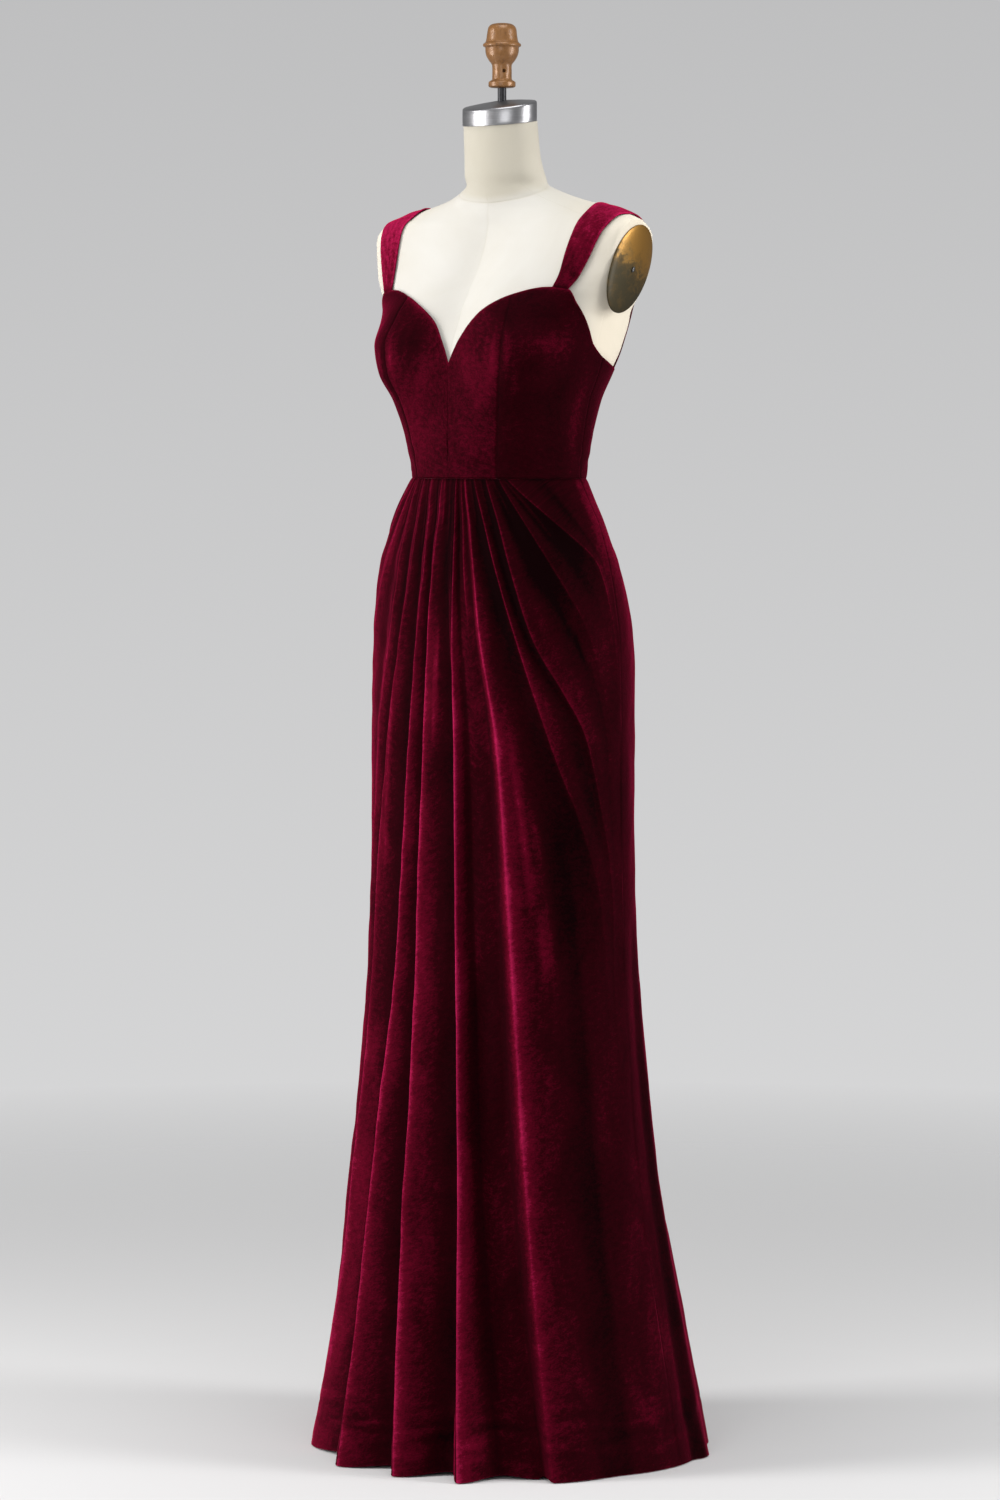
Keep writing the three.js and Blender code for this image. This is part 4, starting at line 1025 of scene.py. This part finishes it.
def formPiece():
    # Rings of the form's surface. The rows near the neck seam follow it up towards the back, and the
    # neck's top leans forwards. A seam is a narrow bell-shaped groove.
    seams = np.array(form["seams"], float)
    turn = np.linspace(0, 360, 121)[:-1]
    offsets = np.array([-1.6, -0.9, -0.45, 0, 0.45, 0.9, 1.6])
    turn = np.unique(np.round(np.concatenate([turn, (seams[:, None] + offsets).ravel() % 360]), 3))
    low = np.array([870, 871, 873, 880, 920, 975, 1015, 1065, 1105, 1140, 1170, 1200, 1230, 1250, 1270, 1285])
    neck = form["seamRow"] + np.array([-3, -1.6, -0.8, 0, 0.8, 1.6, 3])
    top = form["neckTop"] - np.array([0.5, 0])
    rows = np.unique(np.concatenate([low, np.arange(1292, 1632, 4.0), neck, top]))
    t, z0 = np.meshgrid(turn, rows)
    angleHere = np.radians(t)
    climb = form["neckSeam"] + form["neckSeamClimb"] * np.abs(np.sin(angleHere / 2)) ** 1.3 - form["seamRow"]
    z = z0 + climb * smoothStep((z0 - 1505) / 43) * smoothStep((1600 - z0) / 52)
    depth = np.where(np.cos(angleHere) >= 0, formAt["front"](z), formAt["back"](z))
    angle = np.degrees(np.arctan2(formAt["side"](z) * np.sin(angleHere), depth * np.cos(angleHere)))
    points = formPoint(angle, z)
    n = surfaceNormal(formPoint, angle, z, 0.5, 1)
    away = np.abs((t[..., None] - seams + 180) % 360 - 180).min(-1) * np.pi / 180 * form["radius"]
    upright = 0.6 * bell(away, 1.0) * (1 - 0.85 * smoothStep((z0 - 1550) / 12))
    upright = upright * (1 - 0.6 * smoothStep((1500 - z0) / 60))
    seam = np.maximum(upright, bell(z0 - form["seamRow"], 1.0))
    turned = np.abs((angle + 540) % 360 - 180)
    points = points - n * (form["groove"] * seam)[..., None]
    points[0] += (points[0].mean(0) - points[0]) * 0.006
    lean = form["neckTilt"] * smoothStep((z - form["leanFrom"]) / (form["neckTop"] - form["leanFrom"]))
    points[..., 2] += lean * points[..., 1]
    aged = np.clip(smoothStep((z0 - 1545) / 12) + 0.5 * smoothStep((turned - 55) / 30), 0, 1)
    # Painted light: the sides and back below the neck are painted paler.
    pale = smoothStep((turned - 68) / 25) * smoothStep((1545 - z0) / 40)
    return closedRings("dressForm", points, {"seam": seam, "aged": aged, "pale": pale}, 60)


formTorso = finishPiece(formPiece(), linen, "form_cover", "form_torso")
print("stage: form made")

# Cap, rod and finial
finial = {
    "bottom": 1678.5,
    "z": [0, 0.8, 1.8, 6.2, 7.3, 8, 9, 9.6, 11, 19, 26.5, 28.5, 33, 39.5, 45, 48.6, 49.4, 50.2, 51.8,
          53.4, 54.4, 55.6, 58.5, 64, 70.5, 73.5, 76, 77.8, 78.5, 78.6],
    "radius": [13.8, 15.8, 16.6, 16.6, 16, 14.8, 13.2, 12.4, 12, 11.9, 12, 12.6, 16, 19.4, 20.5, 20.6, 21.4,
               22.9, 23.5, 22.9, 21.4, 20.3, 19.4, 18.6, 17.6, 16.6, 14.6, 11.2, 7, 2],
    "pinTurn": 52.0,
    "pinHeight": 20.0,
    "pinRadius": 2.0,
}


cap = {
    "side": 49.8,
    "depth": 39.0,
    # Height, tilt, share of the full size and the ring's centre
    "rows": [(1635.4, 0.13, 0.995, -4.5), (1635.9, 0.13, 1, -4.5), (1641, 0.145, 1.002, -4.5),
             (1650, 0.175, 1.002, -4.5), (1656.4, 0.2, 1, -4.5), (1657.5, 0.2, 0.993, -4.5),
             (1658.2, 0.2, 0.98, -4.5), (1658.6, 0.2, 0.965, -4.5), (1660.2, 0.2, 0.7, -3.2),
             (1661.4, 0.2, 0.45, -2.2), (1662.4, 0.2, 0.24, -1.0)],
    "bore": 5.75,
    "boreRows": [(1662.6, 0.2), (1649.0, 0.0)],  # height and tilt
}


def capPiece():
    # Oval rings from the band's foot, tilted with the neck, over a rounded edge to a low cone that
    # closes round the rod.
    turn = turns(128)
    rings = []
    for z, tilt, grow, centre in cap["rows"]:
        y = centre - cap["depth"] * grow * np.cos(turn)
        rings.append(np.stack([cap["side"] * grow * np.sin(turn), y, z + tilt * y], -1))
    for z, tilt in cap["boreRows"]:
        y = -cap["bore"] * np.cos(turn)
        rings.append(np.stack([cap["bore"] * np.sin(turn), y, z + tilt * y], -1))
    return closedRings("neckCap", np.array(rings), sharp=40)


def turnedPiece(name, z, radius, bottom, count, sharp=30):
    # A profile turned round the vertical axis.
    turn = turns(count)
    z, radius = np.asarray(z, float)[:, None], np.asarray(radius, float)[:, None]
    return closedRings(name, polar(radius, turn, bottom + z), sharp=sharp)


def finialPiece():
    # The turned profile, finer, with a round pit where the pin goes in: every point inside the pin's
    # radius is moved in by 5 mm.
    at = monotoneCurve(finial["z"], finial["radius"])
    z = np.unique(np.concatenate([finial["z"], np.arange(0.4, 78.4, 1.2), np.arange(16.8, 23.4, 0.3)]))
    turn = np.linspace(0, 360, 181)[:-1]
    near = finial["pinTurn"] + np.arange(-15, 15.1, 0.9)
    turn = np.radians(np.unique(np.round(np.concatenate([turn, near]), 3)))
    t, h = np.meshgrid(turn, z)
    r = at(h)
    distance = np.hypot((t - math.radians(finial["pinTurn"])) * r, h - finial["pinHeight"])
    r = r - 5 * smoothStep((finial["pinRadius"] + 0.25 - distance) / 0.5)
    r = r + 0.12 * waves(t * 18, h, 71, 9, 30)
    return closedRings("finialTurned", polar(r, t, finial["bottom"] + h), sharp=60)


finishPiece(capPiece(), steel, "polished_steel", "neck_cap")
finishPiece(turnedPiece("neckRod", [0, 0.3, 28.6, 28.9], [5, 5.35, 5.35, 5.1], 1649.3, 48), darkSteel,
            "dark_steel", "neck_rod")
finishPiece(finialPiece(), wood, "turned_wood", "finial")


# Arm plates
plateDome = {"out": [0.4, 0.5, 1.4, 2.0, 2.5, 3.2, 3.9, 4.5, 5.1, 5.6, 6.0, 6.2, 6.25],
             "share": [0.98, 1, 1.002, 0.995, 0.965, 0.9, 0.8, 0.68, 0.52, 0.36, 0.2, 0.09, 0.03]}
screwDome = {"out": [5.9, 7.3, 7.6, 7.9, 8.0], "share": [0.062, 0.062, 0.055, 0.04, 0.018]}


def armPiece(name, dome, side, count):
    # Oval rings, each so far out and so wide, tilted back, then leaned and moved to the arm's stump.
    turn = turns(count)
    out = np.array(dome["out"])[:, None] + 0 * turn
    share = np.array(dome["share"])[:, None]
    y, z = share * plates["half"] * np.cos(turn), share * plates["tall"] * np.sin(turn)
    a, b = math.radians(plates["tilt"]), math.atan(plates["lean"])
    y, z = y * math.cos(a) - z * math.sin(a), y * math.sin(a) + z * math.cos(a)
    x, z = out * math.cos(b) + z * math.sin(b), z * math.cos(b) - out * math.sin(b)
    age = np.clip(0.62 - z / 60 - y / 90, 0, 1) * 0.9
    rings = np.stack([x + plates["out"], y + plates["back"][side], z + plates["height"]], -1)
    if side < 0:
        rings, age = rings[:, ::-1] * (-1, 1, 1), age[:, ::-1]
    return closedRings(name, rings, {"age": age}, 40)


for side, word, tail in sides:
    finishPiece(armPiece("armPlate" + word, plateDome, side, 96), brass, "aged_brass", "arm_plate" + tail)
    screw = armPiece("plateScrew" + word, screwDome, side, 32)
    finishPiece(screw, screwSteel, "polished_steel", "plate_screw" + tail)

# Stand
stand = {
    "base": 12.3,  # where the pole and the collar start
    "pole": ([0, 857.4], [16, 16]),  # heights and radii, as for the foot
    "foot": ([0, 0.8, 1.8, 7.6, 8.8, 9.8, 12], [168.4, 169.7, 170, 170, 169.2, 166.5, 160]),
    # Radius and height round the collar's section
    "collar": [(30, 0), (30, 1), (26.3, 33), (25.6, 34), (17, 34), (16.4, 33.4), (16.4, 0.4), (16.8, 0)],
}
pole = turnedPiece("standPole", *stand["pole"], stand["base"], 64)
finishPiece(pole, darkSteel, "dark_steel", "stand_pole")
foot = turnedPiece("standFoot", *stand["foot"], 0, 160)
finishPiece(foot, darkSteel, "dark_steel", "stand_foot")


def collarPiece():
    # A ring with a cone outside and a straight bore inside: its section goes round closed.
    radius, z = np.array(stand["collar"], float).T
    rings = polar(radius[:, None], turns(80), stand["base"] + z[:, None])
    rows, count = rings.shape[:2]
    r, c = np.meshgrid(np.arange(rows), np.arange(count), indexing="ij")
    here, after = r.ravel() * count, (r.ravel() + 1) % rows * count
    c, nextColumn = c.ravel(), (c.ravel() + 1) % count
    quads = np.stack([here + c, here + nextColumn, after + nextColumn, after + c], -1)
    return makeMesh("standCollar", rings.reshape(-1, 3), quads, sharp=30)


finishPiece(collarPiece(), darkSteel, "dark_steel", "stand_collar")
print("stage: cap, finial, plates and stand made")

# Flat cuts: the width, the length and the area of what shows, in metres, and how it is held
cuts = {
    "bodice_centre_front": (0.105, 0.215, 0.0168, "stretched"),
    "bodice_side_front": (0.165, 0.24, 0.0296, "stretched"),
    "bodice_side_back": (0.115, 0.16, 0.0143, "stretched"),
    "bodice_centre_back": (0.085, 0.135, 0.0086, "stretched"),
    "strap": (0.045, 0.36, 0.0148, "stretched"),
    "skirt_front": (0.98, 1.23, 0.80, "gathered"),
    "skirt_back": (0.42, 1.21, 0.322, "hung"),
}
for nodeName, piece in dressPieces.items():
    width, length, area, held = cuts[nodeName.replace("_left", "").replace("_right", "")]

# Studio
studio = {
    "azimuth": 40.0,
    "distance": 6.5,
    "height": 1.27,
    "aim": 0.864,
    "lens": 126.36,
    "lampAim": 0.95,
    "floorColour": (0.72, 0.72, 0.725),
    "floorFade": (0.8, 3.6),
    "background": [(0.0, (0.76, 0.76, 0.765)), (0.3, (0.66, 0.66, 0.665)), (0.55, (0.61, 0.61, 0.615)),
                   (1.0, (0.52, 0.52, 0.525))],  # from 12 degrees below the horizon to 5 above it
    "ambient": 0.45,  # the background's share as light on the part
    "lights": [  # azimuth, height, distance, width, tall, power, colour
        ("keyLeft", -38, 1.5, 2.6, 0.8, 2.4, 78, (1, 0.985, 0.97)),
        ("keyRight", 112, 1.5, 2.8, 0.8, 2.4, 66, (1, 0.99, 0.98)),
        ("top", 40, 3.4, 0.6, 1.6, 1.6, 34, (1, 1, 1)),
        ("fill", 30, 1.9, 5.0, 2.5, 2.0, 44, (1, 1, 1)),
    ],
}


def floorPiece():
    # A round floor that fades into the background.
    turn = turns(96)
    rings = [np.zeros((1, 3))]
    for radius in (500.0, 1000.0, 2000.0, 4000.0):
        rings.append(polar(radius, turn, 0))
    points = np.concatenate(rings)
    c = np.arange(96)
    after = (c + 1) % 96
    triangles = np.stack([0 * c, 1 + c, 1 + after], -1)
    start = np.array([[1], [97], [193]])
    quads = np.stack([start + c, start + 96 + c, start + 96 + after, start + after], -1).reshape(-1, 4)
    made = makeMesh("studioFloor", points, quads, triangles)
    paint, tree, shader = newMaterial("floorPaper")
    length = addNode(tree, "ShaderNodeVectorMath", operation="LENGTH")
    tree.links.new(objectPlace(tree), length.inputs[0])
    near, far = studio["floorFade"]
    fade = addNode(tree, "ShaderNodeMapRange", {"From Min": near, "From Max": far})
    tree.links.new(length.outputs["Value"], fade.inputs["Value"])
    setShader(tree, shader, {"Base Color": studio["floorColour"], "Roughness": 0.9,
                             "Specular IOR Level": 0.1})
    clear = addNode(tree, "ShaderNodeBsdfTransparent")
    both = addNode(tree, "ShaderNodeMixShader")
    tree.links.new(fade.outputs["Result"], both.inputs["Fac"])
    tree.links.new(shader.outputs["BSDF"], both.inputs[1])
    tree.links.new(clear.outputs["BSDF"], both.inputs[2])
    tree.links.new(both.outputs["Shader"], tree.nodes["Material Output"].inputs["Surface"])
    made.data.materials.append(paint)
    return made


floorPiece()

world = bpy.data.worlds.new("studio")
bpy.context.scene.world = world
world.use_nodes = True
tree = world.node_tree
background = tree.nodes["Background"]
direction = addNode(tree, "ShaderNodeTexCoord").outputs["Generated"]
parts = addNode(tree, "ShaderNodeSeparateXYZ")
tree.links.new(direction, parts.inputs["Vector"])
rise = addNode(tree, "ShaderNodeMapRange", {"From Min": -0.205, "From Max": 0.08})
tree.links.new(parts.outputs["Z"], rise.inputs["Value"])
sky = addRamp(tree, rise.outputs["Result"], *studio["background"])
tree.links.new(sky, background.inputs["Color"])
seen = addNode(tree, "ShaderNodeLightPath").outputs["Is Camera Ray"]
strength = addNode(tree, "ShaderNodeMapRange", {"To Min": studio["ambient"], "To Max": 1.0})
tree.links.new(seen, strength.inputs["Value"])
tree.links.new(strength.outputs["Result"], background.inputs["Strength"])


def placeAt(made, azimuth, distance, height, aim):
    # Puts a lamp or the camera at this azimuth and distance, looking at the axis at the height aim.
    a = math.radians(azimuth)
    made.location = (distance * math.sin(a), -distance * math.cos(a), height)
    made.rotation_mode = "QUATERNION"
    made.rotation_quaternion = (Vector((0, 0, aim)) - made.location).to_track_quat("-Z", "Y")
    bpy.context.scene.collection.objects.link(made)


for name, azimuth, height, distance, width, tall, power, colour in studio["lights"]:
    lamp = bpy.data.lights.new(name, "AREA")
    lamp.shape = "RECTANGLE"
    lamp.size, lamp.size_y = width, tall
    lamp.energy = power
    lamp.color = colour
    placeAt(bpy.data.objects.new(name, lamp), azimuth, distance, height, studio["lampAim"])

camera = bpy.data.cameras.new("camera")
camera.lens = studio["lens"]
camera.sensor_width = 36
camera.shift_x = -2 / 1500
camera.clip_end = 100
eye = bpy.data.objects.new("camera", camera)
placeAt(eye, studio["azimuth"], studio["distance"], studio["height"], studio["aim"])
bpy.context.scene.camera = eye
bpy.context.scene.view_settings.view_transform = "Standard"
print("stage: studio made")
